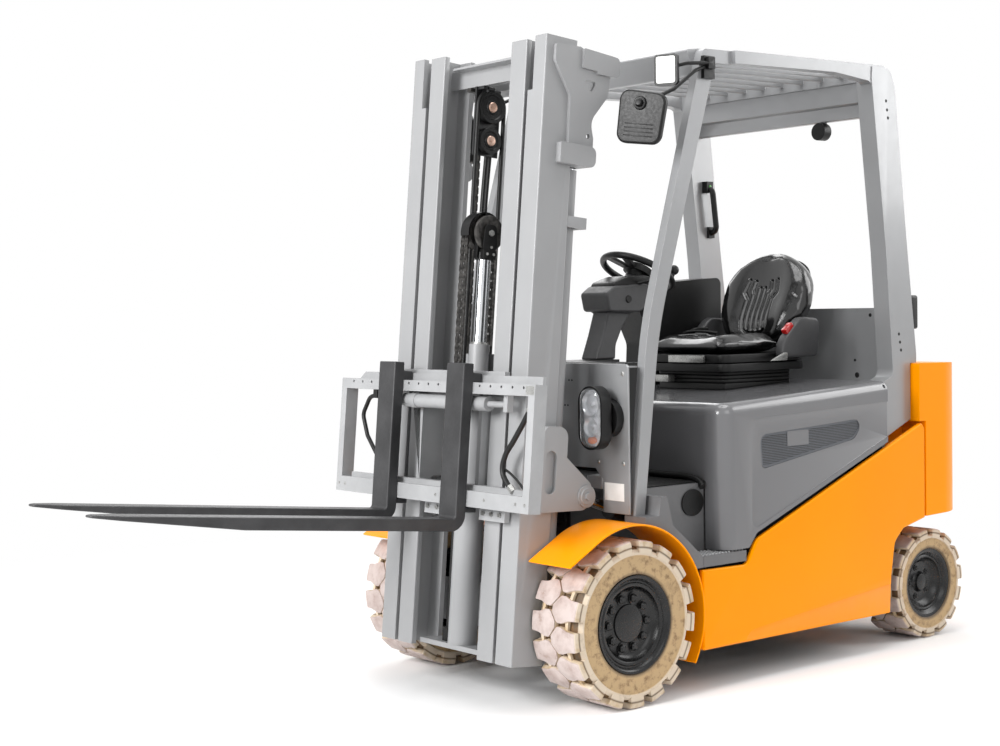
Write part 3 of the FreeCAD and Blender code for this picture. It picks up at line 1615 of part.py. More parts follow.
chain_strand = (chain_high - chain_low - 6) / 2
chain_shapes = []
for start in (chain_low + 1, chain_low + 1 + chain_strand + 4):
    inner_r = sheave_radius + running_gap
    outer_r = inner_r + chain_wall
    arch = Part.makeCylinder(
        outer_r, chain_strand, Vector(free_cylinder_x, start, sheave_height), Vector(0, 1, 0)
    )
    arch = arch.cut(
        Part.makeCylinder(
            inner_r, chain_strand, Vector(free_cylinder_x, start, sheave_height), Vector(0, 1, 0)
        ),
    )
    arch = arch.common(box((-400, 400), (-200, 200), (sheave_height, 3000)))
    front_run = box(
        (free_cylinder_x + inner_r, free_cylinder_x + outer_r),
        (start, start + chain_strand),
        (720, sheave_height),
    )
    rear_run = box(
        (free_cylinder_x - inner_r, free_cylinder_x - outer_r),
        (start, start + chain_strand),
        (1300, sheave_height),
    )
    front_end = box(
        (free_cylinder_x + inner_r - 5, free_cylinder_x + outer_r + 5),
        (start, start + chain_strand),
        (696, 730),
    )
    rear_end = box(
        (free_cylinder_x - outer_r - 4, free_cylinder_x - inner_r),
        (start, start + chain_strand),
        (1290, 1320),
    )
    chain_shapes.append(fused([arch, front_run, rear_run, front_end, rear_end]))
save("lift_chains", chain_shapes, True)

# Carriage that climbs the inner rails
plate_x = (carriage_gap, carriage_gap + carriage_plate)
plate_half = 300.0
roller_axis = -rail_depth / 2
cheek = slab(
    "xz",
    [
        (plate_x[1], bar_bottom + 12),
        (plate_x[1], 1190),
        (roller_axis - 40, 1190, 20),
        (roller_axis - 40, carriage_roller_heights[0] - 40, 20),
        (-30, carriage_roller_heights[0] - 44, 10),
        (-8, bar_bottom + 12),
    ],
    166,
    186,
)
carriage_parts = [
    box(plate_x, (-plate_half, plate_half), (1112, 1190)),
    box(plate_x, (-plate_half, plate_half), (bar_bottom + 12, bar_bottom + 76)),
]
for side, sign in sides:
    for z in carriage_roller_heights:
        carriage_parts.append(cylinder((roller_axis, sign * 184, z), (0, sign, 0), 18, 18))
        carriage_parts.append(
            cylinder((roller_axis, sign * 201, z), (0, sign, 0), roller_radius, inner_web[0] - 6 - 201)
        )
carriage_parts += both_sides(cheek)
for y_range in ((-122, -22), (200, 342)):
    carriage_parts.append(box(plate_x, y_range, (bar_bottom - 46, bar_bottom + 50)))
pad_end = bar_front - bar_wall - hook_groove - backing_wall - running_gap
carriage_parts.append(box((plate_x[1] - 1, pad_end), (-240, 240), (1118, 1168)))
carriage_parts.append(box((plate_x[1] - 1, pad_end), (-240, 240), (742, 780)))
cylinder_x = 57.0
cylinder_z = 1074.0
for y in (-170.0, 60.0):
    carriage_parts.append(box((plate_x[0], cylinder_x - 24), (y - 15, y + 15), (cylinder_z - 20, 1114)))
    carriage_parts.append(
        cylinder((cylinder_x, y - 15, cylinder_z), (0, 1, 0), shift_cylinder_radius + 3, 30)
    )
carriage_body = fused(carriage_parts)
cylinder_space = cylinder((cylinder_x, -600, cylinder_z), (0, 1, 0), shift_cylinder_radius, 1200)
carriage_body = carriage_body.cut(cylinder_space)
save("carriage", [carriage_body], True)

cyl_low, cyl_high = shift_cylinder_y
shift_body = cylinder(
    (cylinder_x, cyl_low, cylinder_z), (0, 1, 0), shift_cylinder_radius - 0.1, cyl_high - cyl_low
)
shift_bore = cylinder((cylinder_x, 30, cylinder_z), (0, 1, 0), 11 + running_gap, 400)
save("side_shift_cylinder", [shift_body.cut(shift_bore)], True)

# Side shifter: hook bar, lower bar, end posts and the lug of the shift rod
strip_x = (bar_front - bar_wall, bar_front)
backing_x = (strip_x[0] - hook_groove - backing_wall, strip_x[0] - hook_groove)
span = (shifter_right, shifter_left)
shifter_parts = [
    box(strip_x, span, (bar_top - bar_strip, bar_top)),
    box((backing_x[0], strip_x[0] + 1), span, (bar_top - bar_strip, bar_top - bar_strip + 10)),
    slab(
        "yz",
        [
            (shifter_right + 60, bar_top - bar_strip),
            (shifter_left - 10, bar_top - bar_strip),
            (shifter_left - 10, bar_top),
            (shifter_left - 10, backing_top),
            (shifter_right + 96, backing_top),
            (shifter_right + 60, bar_top),
        ],
        backing_x[0],
        backing_x[1],
    ),
    box((50, bar_front), span, (bar_bottom, bar_bottom + lower_bar_height)),
    box((backing_x[0], 64), (shifter_right + 60, shifter_left - 16), (bar_bottom + 32, bar_bottom + 76)),
]
for y in (shifter_right, shifter_left - shifter_post):
    shifter_parts.append(box((38, bar_front), (y, y + shifter_post), (bar_bottom, bar_top)))
for y in range(-540, 500, 60):
    if y > shifter_right + 40 and y < shifter_left - 40:
        hole = cylinder((strip_x[0] - 5, y, bar_top - 12), (1, 0, 0), 5, 60)
        shifter_parts[0] = shifter_parts[0].cut(hole)
lug_y = 350.0
shifter_parts.append(box((44, 70), (lug_y, lug_y + 22), (cylinder_z - 26, bar_top - bar_strip + 4)))
shifter_parts.append(cylinder((cylinder_x, 110, cylinder_z), (0, 1, 0), 11, lug_y + 2 - 110))
save("side_shifter", [fused(shifter_parts)], True)

shifter_hose_x = 76.0
hose_points = [
    (shifter_hose_x, -400, 1088),
    (shifter_hose_x, -448, 1076),
    (shifter_hose_x, -488, 1010),
    (shifter_hose_x, -450, 930),
    (shifter_hose_x, -380, 860),
    (shifter_hose_x, -344, 800),
    (shifter_hose_x, -344, 770),
]
shifter_hose = bent_tube(hose_points, 8, 34)
union_x = (shifter_hose_x - 10, shifter_hose_x + 10)
union_top = box(union_x, (-414, -388), (1074, bar_top - bar_strip - running_gap))
union_low = box(union_x, (-356, -332), (bar_bottom + lower_bar_height + running_gap, 775))
save("shifter_hose", [fused([shifter_hose, union_top, union_low])], True)


# Forks with their upper and lower hooks
def fork(centre):
    low_y = centre - fork_width / 2
    high_y = centre + fork_width / 2
    front = bar_front + running_gap + fork_wall
    back = bar_front + running_gap
    tip = front + fork_length
    outline = [
        (back, fork_top, 4),
        (front, fork_top, 4),
        (front, fork_bottom + fork_wall, 12),
        (tip - 20, fork_bottom + fork_wall + 6),
        (tip, fork_bottom + fork_wall + 4),
        (tip, fork_bottom + fork_wall - 3),
        (tip - 520, fork_bottom + 6, 400),
        (back, fork_bottom, fork_heel_round),
    ]
    blade = slab("xz", outline, low_y, high_y)
    taper = 90.0
    plan = slab(
        "xy",
        [
            (back - 100, low_y),
            (tip - taper, low_y, 60),
            (tip, low_y + 30, 12),
            (tip, high_y - 30, 12),
            (tip - taper, high_y, 60),
            (back - 100, high_y),
        ],
        fork_bottom - 10,
        fork_top + 10,
    )
    lip_x = (strip_x[0] - 3, strip_x[0] - 11)
    upper = box((back + 1, lip_x[1]), (low_y, high_y), (bar_top + running_gap, bar_top + 34))
    upper_lip = box(lip_x, (low_y, high_y), (bar_top - 16, bar_top + 34))
    lower = box((back + 1, 38), (low_y + 10, high_y - 10), (bar_bottom - 22, bar_bottom - 4))
    lower_lip = box((46, 38), (low_y + 10, high_y - 10), (bar_bottom - 22, bar_bottom + 14))
    return fused([blade.common(plan), upper, upper_lip, lower, lower_lip])


save("fork_left", [fork(fork_left_y)], True)
save("fork_right", [fork(fork_right_y)], True)

# Tilt cylinders between the frame and the mast
rod_pin_x, rod_pin_z = mast_to_truck(tilt_pin)
anchor_x, anchor_z = tilt_anchor
run = Vector(rod_pin_x - anchor_x, 0, rod_pin_z - anchor_z)
along = Vector(run).normalize()


def at(distance, y):
    return Vector(anchor_x, y, anchor_z) + along * distance


anchor_eye = cylinder((anchor_x, tilt_cylinder_y - 20, anchor_z), (0, 1, 0), 40, 40)
barrel_length = 330.0
tilt_barrel = Part.makeCylinder(tilt_barrel_radius, barrel_length - 38, at(38, tilt_cylinder_y), along)
bore = Part.makeCylinder(tilt_rod_radius + running_gap, barrel_length, at(60, tilt_cylinder_y), along)
barrel_left = fused([tilt_barrel, anchor_eye]).cut(bore)
barrel_left = barrel_left.cut(
    cylinder((anchor_x, tilt_cylinder_y - 30, anchor_z), (0, 1, 0), 16 + running_gap, 60)
)
rod_start = 170.0
rod_body = Part.makeCylinder(
    tilt_rod_radius, run.Length - rod_start - 20, at(rod_start, tilt_cylinder_y), along
)
rod_eye = cylinder((rod_pin_x, tilt_cylinder_y - 18, rod_pin_z), (0, 1, 0), 34, 36)
rod_left = fused([rod_body, rod_eye]).cut(
    cylinder((rod_pin_x, tilt_cylinder_y - 30, rod_pin_z), (0, 1, 0), tilt_pin_radius + tilt_eye_play, 60)
)
anchor_block = fused([
    box(
        (bulkhead_x[1], bulkhead_x[1] + 14),
        (tilt_cylinder_y - 60, tilt_cylinder_y + 60),
        (anchor_z - 60, anchor_z + 60),
    ),
    cylinder((anchor_x, tilt_cylinder_y - 45, anchor_z), (0, 1, 0), 16, 90),
    box(
        (bulkhead_x[1] + 10, anchor_x + 24),
        (tilt_cylinder_y - 46, tilt_cylinder_y - 26),
        (anchor_z - 28, anchor_z + 28),
    ),
    box(
        (bulkhead_x[1] + 10, anchor_x + 24),
        (tilt_cylinder_y + 26, tilt_cylinder_y + 46),
        (anchor_z - 28, anchor_z + 28),
    ),
])
save("tilt_anchors", both_sides(anchor_block))
for side, sign in sides:
    save("tilt_barrel_" + side, [barrel_left if sign > 0 else mirrored(barrel_left)])
    save("tilt_rod_" + side, [rod_left if sign > 0 else mirrored(rod_left)])

bounds = Part.makeCompound(list(nodes.values())).BoundBox
print(len(nodes), "nodes")
print("x", round(bounds.XMin, 2), round(bounds.XMax, 2))
print("y", round(bounds.YMin, 2), round(bounds.YMax, 2))
print("z", round(bounds.ZMin, 2), round(bounds.ZMax, 2))
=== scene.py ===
import bmesh
import bpy
import json
import math
import random
from mathutils import Matrix, Vector


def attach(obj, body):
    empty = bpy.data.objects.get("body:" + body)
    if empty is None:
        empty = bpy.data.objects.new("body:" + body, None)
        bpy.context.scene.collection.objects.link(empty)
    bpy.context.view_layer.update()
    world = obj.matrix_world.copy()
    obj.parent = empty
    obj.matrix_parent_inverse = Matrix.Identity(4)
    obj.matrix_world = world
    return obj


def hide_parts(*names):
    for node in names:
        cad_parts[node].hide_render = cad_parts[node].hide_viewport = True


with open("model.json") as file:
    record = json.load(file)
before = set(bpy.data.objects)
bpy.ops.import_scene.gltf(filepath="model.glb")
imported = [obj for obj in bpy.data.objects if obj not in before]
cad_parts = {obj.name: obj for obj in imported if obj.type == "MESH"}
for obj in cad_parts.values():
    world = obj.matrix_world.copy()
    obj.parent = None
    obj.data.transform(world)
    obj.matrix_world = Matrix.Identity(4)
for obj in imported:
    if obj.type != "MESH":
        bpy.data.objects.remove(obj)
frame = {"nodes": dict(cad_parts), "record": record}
nodes = frame["nodes"]
bodyOf = {n: b for b, names in frame["record"]["behaviour"]["bodies"].items() for n in names}
slotOf = {s["node"]: s["material_slot"] for s in frame["record"]["subparts"]}
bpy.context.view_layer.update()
scene = bpy.context.scene
random.seed(7)

# All sizes below are in metres about the drive axle; the row's origin lies behind it
axleX = 0.0885
mast = {"frontX": 0.3976, "lean": math.atan(0.0945)}
mastPlace = Matrix.Translation((mast["frontX"] + axleX, 0, 0)) @ Matrix.Rotation(-mast["lean"], 4, "Y")
truckPlace = Matrix.Translation((axleX, 0, 0))

# Camera, lights and floor
cameraLook = {"place": (3.9836, 4.7538, 1.3948), "yaw": 50.7, "pitch": 2.1, "roll": -0.9, "lens": 59.306}


def makeCamera(look):
    yaw, pitch, roll = (math.radians(look[k]) for k in ("yaw", "pitch", "roll"))
    forward = Vector((-math.cos(yaw) * math.cos(pitch), -math.sin(yaw) * math.cos(pitch), -math.sin(pitch)))
    level = forward.cross(Vector((0, 0, 1))).normalized()
    over = level.cross(forward)
    right = level * math.cos(roll) + over * math.sin(roll)
    up = over * math.cos(roll) - level * math.sin(roll)
    camera = bpy.data.objects.new("camera", bpy.data.cameras.new("camera"))
    turn = Matrix((right, up, -forward)).transposed().to_4x4()
    camera.matrix_world = Matrix.Translation(Vector(look["place"]) + Vector((axleX, 0, 0))) @ turn
    camera.data.lens = look["lens"]
    camera.data.sensor_width = 36
    scene.collection.objects.link(camera)
    scene.camera = camera


studio = {
    "worldStrength": 0.40,
    "lamps": [
        # place, size, watts, aim
        ((5.4, 0.2, 3.2), 2.6, 410, (0.2, 0.0, 1.1)),
        ((1.0, 5.2, 3.6), 3.0, 56, (-0.2, 0.3, 0.8)),
        ((-0.6, 0.4, 5.6), 3.2, 150, (-0.4, 0.0, 1.0)),
        ((-4.8, 2.4, 3.4), 3.0, 105, (-0.8, 0.2, 1.1)),
        ((-2.4, -3.8, 4.0), 3.0, 80, (-0.3, 0.0, 1.0)),
    ],
    "floorFade": (2.2, 4.6),
}


def makeStudio(look):
    scene.view_settings.view_transform = "Standard"
    world = bpy.data.worlds.new("studio")
    world.use_nodes = True
    scene.world = world
    tree = world.node_tree
    tree.nodes.clear()
    out = tree.nodes.new("ShaderNodeOutputWorld")
    seen = tree.nodes.new("ShaderNodeBackground")
    seen.inputs["Color"].default_value = (1, 1, 1, 1)
    light = tree.nodes.new("ShaderNodeBackground")
    light.inputs["Color"].default_value = (1, 1, 1, 1)
    light.inputs["Strength"].default_value = look["worldStrength"]
    path = tree.nodes.new("ShaderNodeLightPath")
    either = tree.nodes.new("ShaderNodeMath")
    either.operation = "MAXIMUM"
    tree.links.new(path.outputs["Is Camera Ray"], either.inputs[0])
    tree.links.new(path.outputs["Is Transmission Ray"], either.inputs[1])
    shine = tree.nodes.new("ShaderNodeMath")
    shine.operation = "MAXIMUM"
    tree.links.new(either.outputs[0], shine.inputs[0])
    tree.links.new(path.outputs["Is Glossy Ray"], shine.inputs[1])
    mix = tree.nodes.new("ShaderNodeMixShader")
    tree.links.new(shine.outputs[0], mix.inputs["Fac"])
    tree.links.new(light.outputs[0], mix.inputs[1])
    tree.links.new(seen.outputs[0], mix.inputs[2])
    tree.links.new(mix.outputs[0], out.inputs["Surface"])
    for number, (place, size, watts, aim) in enumerate(look["lamps"]):
        lamp = bpy.data.lights.new("lamp%d" % number, "AREA")
        lamp.shape = "SQUARE"
        lamp.size = size
        lamp.energy = watts
        holder = bpy.data.objects.new("lamp%d" % number, lamp)
        holder.location = place
        holder.rotation_euler = (Vector(aim) - Vector(place)).to_track_quat("-Z", "Y").to_euler()
        scene.collection.objects.link(holder)


def makeFloor(fade):
    shape = bmesh.new()
    bmesh.ops.create_grid(shape, x_segments=2, y_segments=2, size=14)
    mesh = bpy.data.meshes.new("floor")
    shape.to_mesh(mesh)
    shape.free()
    floor = bpy.data.objects.new("floor", mesh)
    scene.collection.objects.link(floor)
    material = bpy.data.materials.new("floorWhite")
    material.use_nodes = True
    tree = material.node_tree
    tree.nodes.clear()
    out = tree.nodes.new("ShaderNodeOutputMaterial")
    matt = tree.nodes.new("ShaderNodeBsdfDiffuse")
    matt.inputs["Color"].default_value = (0.97, 0.97, 0.97, 1)
    clear = tree.nodes.new("ShaderNodeBsdfTransparent")
    coords = tree.nodes.new("ShaderNodeTexCoord")
    length = tree.nodes.new("ShaderNodeVectorMath")
    length.operation = "LENGTH"
    ramp = tree.nodes.new("ShaderNodeMapRange")
    ramp.interpolation_type = "SMOOTHSTEP"
    ramp.inputs["From Min"].default_value, ramp.inputs["From Max"].default_value = fade
    mix = tree.nodes.new("ShaderNodeMixShader")
    tree.links.new(coords.outputs["Object"], length.inputs[0])
    tree.links.new(length.outputs["Value"], ramp.inputs["Value"])
    tree.links.new(ramp.outputs[0], mix.inputs["Fac"])
    tree.links.new(matt.outputs[0], mix.inputs[1])
    tree.links.new(clear.outputs[0], mix.inputs[2])
    tree.links.new(mix.outputs[0], out.inputs["Surface"])
    mesh.materials.append(material)


makeCamera(cameraLook)
makeStudio(studio)
makeFloor(studio["floorFade"])
print("camera, lights and floor are set")


# Finishes
def toLinear(colour):
    return tuple(c / 12.92 if c <= 0.04045 else ((c + 0.055) / 1.055) ** 2.4 for c in colour)


def noise(tree, coords, scale, detail=4, roughness=0.55):
    node = tree.nodes.new("ShaderNodeTexNoise")
    node.inputs["Scale"].default_value = scale
    node.inputs["Detail"].default_value = detail
    node.inputs["Roughness"].default_value = roughness
    tree.links.new(coords, node.inputs["Vector"])
    return node.outputs["Fac"]


def spread(tree, value, low, high, newLow=0.0, newHigh=1.0):
    node = tree.nodes.new("ShaderNodeMapRange")
    for name, number in (("From Min", low), ("From Max", high), ("To Min", newLow), ("To Max", newHigh)):
        node.inputs[name].default_value = number
    tree.links.new(value, node.inputs["Value"])
    return node.outputs[0]


def blendColour(tree, fac, first, second):
    node = tree.nodes.new("ShaderNodeMix")
    node.data_type = "RGBA"
    tree.links.new(fac, node.inputs["Factor"])
    for socket, colour in ((node.inputs["A"], first), (node.inputs["B"], second)):
        if isinstance(colour, tuple):
            socket.default_value = colour + (1,)
        else:
            tree.links.new(colour, socket)
    return node.outputs["Result"]


finishes = {
    "bodyOrange": {"colour": (1.0, 0.60, 0.0), "shade": (0.99, 0.585, 0.0), "rough": (0.30, 0.38), "shine": 0.45,
                   "tint": (1.0, 0.80, 0.0),
                   "grain": (520, 0.00003), "mottle": 2.0},
    "hoodGrey": {"colour": (0.43, 0.43, 0.438), "shade": (0.42, 0.42, 0.428), "rough": (0.20, 0.26), "coat": 0.5,
                 "grain": (420, 0.00001), "mottle": 2.0},
    "guardSilver": {"colour": (0.60, 0.603, 0.61), "shade": (0.585, 0.588, 0.593), "rough": (0.28, 0.36), "metal": 0.3,
                    "coat": 0.4, "grain": (500, 0.00003), "mottle": 3.0},
    "mastGrey": {"colour": (0.595, 0.597, 0.602), "shade": (0.577, 0.579, 0.584), "rough": (0.36, 0.46),
                 "coat": 0.15, "grain": (360, 0.00006), "mottle": 3.0},
    "carriageGrey": {"colour": (0.65, 0.653, 0.658), "shade": (0.61, 0.613, 0.618), "rough": (0.38, 0.55),
                     "metal": 0.15, "coat": 0.1, "grain": (360, 0.00008), "mottle": 7.0},
    "frameBlack": {"colour": (0.13, 0.13, 0.135), "shade": (0.10, 0.10, 0.105), "rough": (0.36, 0.50),
                   "coat": 0.15, "grain": (300, 0.00010), "mottle": 8.0},
    "castGrey": {"colour": (0.20, 0.20, 0.205), "shade": (0.14, 0.14, 0.145), "rough": (0.50, 0.68),
                 "grain": (160, 0.0004), "mottle": 10.0},
    "rimBlack": {"colour": (0.045, 0.045, 0.048), "shade": (0.03, 0.03, 0.032), "rough": (0.22, 0.34), "shine": 0.4,
                 "grain": (300, 0.00008), "mottle": 9.0},
    "forkCharcoal": {"colour": (0.235, 0.235, 0.24), "shade": (0.18, 0.18, 0.185), "rough": (0.36, 0.54),
                     "metal": 0.3, "grain": (140, 0.0002), "mottle": 9.0},
    "columnGrey": {"colour": (0.235, 0.235, 0.24), "shade": (0.215, 0.215, 0.22), "rough": (0.42, 0.54),
                   "grain": (900, 0.00010), "mottle": 6.0},
    "chromeRod": {"colour": (0.86, 0.87, 0.88), "shade": (0.80, 0.81, 0.82), "rough": (0.07, 0.14), "metal": 1.0,
                  "grain": (90, 0.00002), "mottle": 20.0},
    "blackPlastic": {"colour": (0.045, 0.045, 0.047), "shade": (0.035, 0.035, 0.037), "rough": (0.34, 0.46),
                     "shine": 0.3, "grain": (900, 0.00008), "mottle": 12.0},
    "floorGrey": {"colour": (0.40, 0.40, 0.405), "shade": (0.37, 0.37, 0.375), "rough": (0.40, 0.52), "coat": 0.2,
                  "grain": (600, 0.00010), "mottle": 6.0},
    "matRubber": {"colour": (0.07, 0.07, 0.07), "shade": (0.055, 0.055, 0.055), "rough": (0.45, 0.60), "shine": 0.3,
                  "grain": (500, 0.0002), "mottle": 12.0},
    "seatVinyl": {"colour": (0.035, 0.035, 0.037), "shade": (0.028, 0.028, 0.03), "rough": (0.17, 0.23), "coat": 0.5,
                  "grain": (1100, 0.00005), "mottle": 5.0},
    "chainSteel": {"colour": (0.42, 0.41, 0.40), "shade": (0.24, 0.235, 0.23), "rough": (0.28, 0.46), "metal": 0.7,
                   "grain": (240, 0.0001), "mottle": 40.0},
    "hoseRubber": {"colour": (0.06, 0.06, 0.06), "shade": (0.045, 0.045, 0.045), "rough": (0.42, 0.56), "shine": 0.35,
                   "grain": (800, 0.0001), "mottle": 20.0},
    "zincSteel": {"colour": (0.70, 0.70, 0.69), "shade": (0.60, 0.60, 0.59), "rough": (0.24, 0.36), "metal": 0.8,
                  "grain": (200, 0.00005), "mottle": 25.0},
    "copperCap": {"colour": (0.80, 0.68, 0.62), "shade": (0.70, 0.57, 0.50), "rough": (0.26, 0.40), "metal": 0.7,
                  "grain": (200, 0.00006), "mottle": 25.0},
    "amberLens": {"colour": (1.0, 0.50, 0.10), "shade": (0.95, 0.42, 0.05), "rough": (0.10, 0.18), "coat": 0.6,
                  "grain": (200, 0.00004), "mottle": 20.0},
    "redLens": {"colour": (0.78, 0.08, 0.05), "shade": (0.68, 0.05, 0.04), "rough": (0.14, 0.22), "coat": 0.6,
                "grain": (260, 0.00004), "mottle": 20.0},
    "greenButton": {"colour": (0.25, 0.62, 0.18), "shade": (0.20, 0.55, 0.14), "rough": (0.25, 0.35), "coat": 0.3,
                    "grain": (260, 0.00004), "mottle": 20.0},
    "plateWhite": {"colour": (0.93, 0.93, 0.92), "shade": (0.88, 0.88, 0.87), "rough": (0.34, 0.44), "coat": 0.2,
                   "grain": (300, 0.00004), "mottle": 12.0},
    "lampChrome": {"colour": (0.95, 0.95, 0.95), "shade": (0.88, 0.88, 0.88), "rough": (0.12, 0.20), "metal": 0.45,
                   "grain": (60, 0.0006), "mottle": 14.0},
    "caseGrey": {"colour": (0.35, 0.36, 0.38), "shade": (0.32, 0.33, 0.35), "rough": (0.45, 0.6),
                 "grain": (300, 0.0001), "mottle": 6.0},
}
materials = {}


def makeFinish(name, look):
    material = bpy.data.materials.new(name)
    material.use_nodes = True
    tree = material.node_tree
    shader = tree.nodes["Principled BSDF"]
    coords = tree.nodes.new("ShaderNodeTexCoord").outputs["Object"]
    patches = noise(tree, coords, look["mottle"])
    colour = blendColour(tree, spread(tree, patches, 0.35, 0.65), toLinear(look["colour"]), toLinear(look["shade"]))
    tree.links.new(colour, shader.inputs["Base Color"])
    fine = noise(tree, coords, look["mottle"] * 9, 3)
    tree.links.new(spread(tree, fine, 0.3, 0.7, *look["rough"]), shader.inputs["Roughness"])
    shader.inputs["Metallic"].default_value = look.get("metal", 0.0)
    shader.inputs["Coat Weight"].default_value = look.get("coat", 0.0)
    shader.inputs["Coat Roughness"].default_value = 0.12
    shader.inputs["Specular IOR Level"].default_value = look.get("shine", 0.5)
    shader.inputs["Specular Tint"].default_value = (*toLinear(look.get("tint", (1, 1, 1)))[:3], 1)
    grainScale, grainDepth = look["grain"]
    bump = tree.nodes.new("ShaderNodeBump")
    bump.inputs["Distance"].default_value = grainDepth
    tree.links.new(noise(tree, coords, grainScale, 2), bump.inputs["Height"])
    tree.links.new(bump.outputs[0], shader.inputs["Normal"])
    materials[name] = material
    return material


for finishName, finishLook in finishes.items():
    makeFinish(finishName, finishLook)

glass = makeFinish("lensClear", {"colour": (0.97, 0.97, 0.98), "shade": (0.93, 0.94, 0.95), "rough": (0.02, 0.05),
                                 "grain": (70, 0.0002), "mottle": 12.0})
glass.node_tree.nodes["Principled BSDF"].inputs["Transmission Weight"].default_value = 0.92
glass.node_tree.nodes["Principled BSDF"].inputs["IOR"].default_value = 1.45


# The dark brown pocket colour is painted shade, used on the pocket floors and in a band next to the rim edge
tyreLook = {"lug": (0.745, 0.69, 0.67), "lugShade": (0.66, 0.59, 0.565), "cheek": (0.82, 0.76, 0.68),
            "wall": (0.72, 0.61, 0.45), "wallShade": (0.42, 0.31, 0.19), "groove": (0.33, 0.27, 0.20)}
tyres = {
    "drive": {"centre": (axleX, 0.296), "radius": 0.296, "width": 0.225, "outer": 0.620, "bead": 0.1743, "ring": 0.072,
              "lugs": 17, "depth": 0.026, "finish": "driveRubber"},
    "steer": {"centre": (axleX - 1.775, 0.229), "radius": 0.229, "width": 0.195, "outer": 0.556, "bead": 0.1453,
              "ring": 0.046, "lugs": 15, "depth": 0.019, "finish": "steerRubber"},
}


def makeTyreFinish(name, look):
    # Pale rubber: pinkish lug tops, cream lug sides and tan walls, told apart by their place; the pocket floors between
    # the lugs get painted shade in dark brown, mixed with brown mottling
    centreX, centreZ, middleY = look["centre"][0], look["centre"][1], look["outer"] - look["width"] / 2
    half, radius, depth = look["width"] / 2, look["radius"], look["depth"]
    material = bpy.data.materials.new(name)
    material.use_nodes = True
    tree = material.node_tree
    shader = tree.nodes["Principled BSDF"]
    coords = tree.nodes.new("ShaderNodeTexCoord").outputs["Object"]
    place = tree.nodes.new("ShaderNodeMapping")
    place.inputs["Location"].default_value = (-centreX, 0, -centreZ)
    place.inputs["Scale"].default_value = (1, 0, 1)
    tree.links.new(coords, place.inputs["Vector"])
    length = tree.nodes.new("ShaderNodeVectorMath")
    length.operation = "LENGTH"
    tree.links.new(place.outputs[0], length.inputs[0])
    out = length.outputs["Value"]
    parts = tree.nodes.new("ShaderNodeSeparateXYZ")
    tree.links.new(coords, parts.inputs[0])
    side = parts.outputs["Y"]
    for operation, number in (("ABSOLUTE", 0), ("SUBTRACT", middleY), ("ABSOLUTE", 0)):
        step = tree.nodes.new("ShaderNodeMath")
        step.operation = operation
        step.inputs[1].default_value = number
        tree.links.new(side, step.inputs[0])
        side = step.outputs[0]
    patches = noise(tree, coords, 22, 5, 0.6)
    tone = {key: toLinear(value) for key, value in tyreLook.items()}
    lug = blendColour(tree, spread(tree, patches, 0.40, 0.66), tone["lug"], tone["lugShade"])
    cheek = blendColour(tree, spread(tree, patches, 0.42, 0.70), tone["cheek"], tone["wall"])
    # Painted shade: the pocket floors between the lugs are dark brown, mottled with the brown wall tone
    floor = blendColour(tree, spread(tree, noise(tree, coords, 30, 5, 0.7), 0.40, 0.60), tone["groove"],
                        tone["wallShade"])
    spots = noise(tree, coords, 34, 7, 0.72)
    wall = blendColour(tree, spread(tree, spots, 0.50, 0.70), tone["wall"], tone["wallShade"])
    # Painted shade: a dark band on the wall next to the rim edge
    rimEdgeShade = spread(tree, out, look["bead"] + 0.003, look["bead"] + 0.014, 0.85, 0.0)
    wall = blendColour(tree, rimEdgeShade, wall, tone["groove"])
    ring = spread(tree, out, look["bead"] + look["ring"] - 0.004, look["bead"] + look["ring"])
    wall = blendColour(tree, ring, wall, tone["cheek"])
    tread = blendColour(tree, spread(tree, out, radius - depth + 0.002, radius - depth + 0.007), floor, cheek)
    tread = blendColour(tree, spread(tree, out, radius - 0.005, radius - 0.003), tread, lug)
    face = blendColour(tree, spread(tree, side, half - 0.016, half - 0.013), tread, wall)
    shoulder = spread(tree, out, radius - depth - 0.004, radius - depth + 0.002)
    face = blendColour(tree, shoulder, face, tread)
    stain = spread(tree, noise(tree, coords, 11, 6, 0.75), 0.56, 0.72, 0.0, 0.45)
    face = blendColour(tree, stain, face, toLinear(tyreLook["wallShade"]))
    tree.links.new(face, shader.inputs["Base Color"])
    shader.inputs["Roughness"].default_value = 0.6
    bump = tree.nodes.new("ShaderNodeBump")
    bump.inputs["Distance"].default_value = 0.0009
    tree.links.new(noise(tree, coords, 90, 6, 0.7), bump.inputs["Height"])
    tree.links.new(bump.outputs[0], shader.inputs["Normal"])
    materials[name] = material


for look in tyres.values():
    makeTyreFinish(look["finish"], look)

finishOfSlot = {
    "body_orange": "bodyOrange", "hood_grey": "hoodGrey", "guard_silver": "guardSilver", "mast_grey": "mastGrey",
    "carriage_grey": "carriageGrey", "frame_black": "frameBlack", "cast_grey": "castGrey",
    "rim_black": "rimBlack", "fork_charcoal": "forkCharcoal", "chain_steel": "chainSteel",
    "column_grey": "columnGrey", "chrome_rod": "chromeRod", "black_plastic": "blackPlastic",
    "floor_grey": "floorGrey", "seat_vinyl": "seatVinyl", "lens_clear": "lensClear",
    "battery_case": "caseGrey", "hose_rubber": "hoseRubber",
}
for nodeName, node in nodes.items():
    if "tyre" in nodeName:
        finish = "driveRubber" if "drive" in nodeName else "steerRubber"
    else:
        finish = finishOfSlot[slotOf[nodeName]]
    node.data.materials.clear()
    node.data.materials.append(materials[finish])
print("finishes are on the CAD nodes")


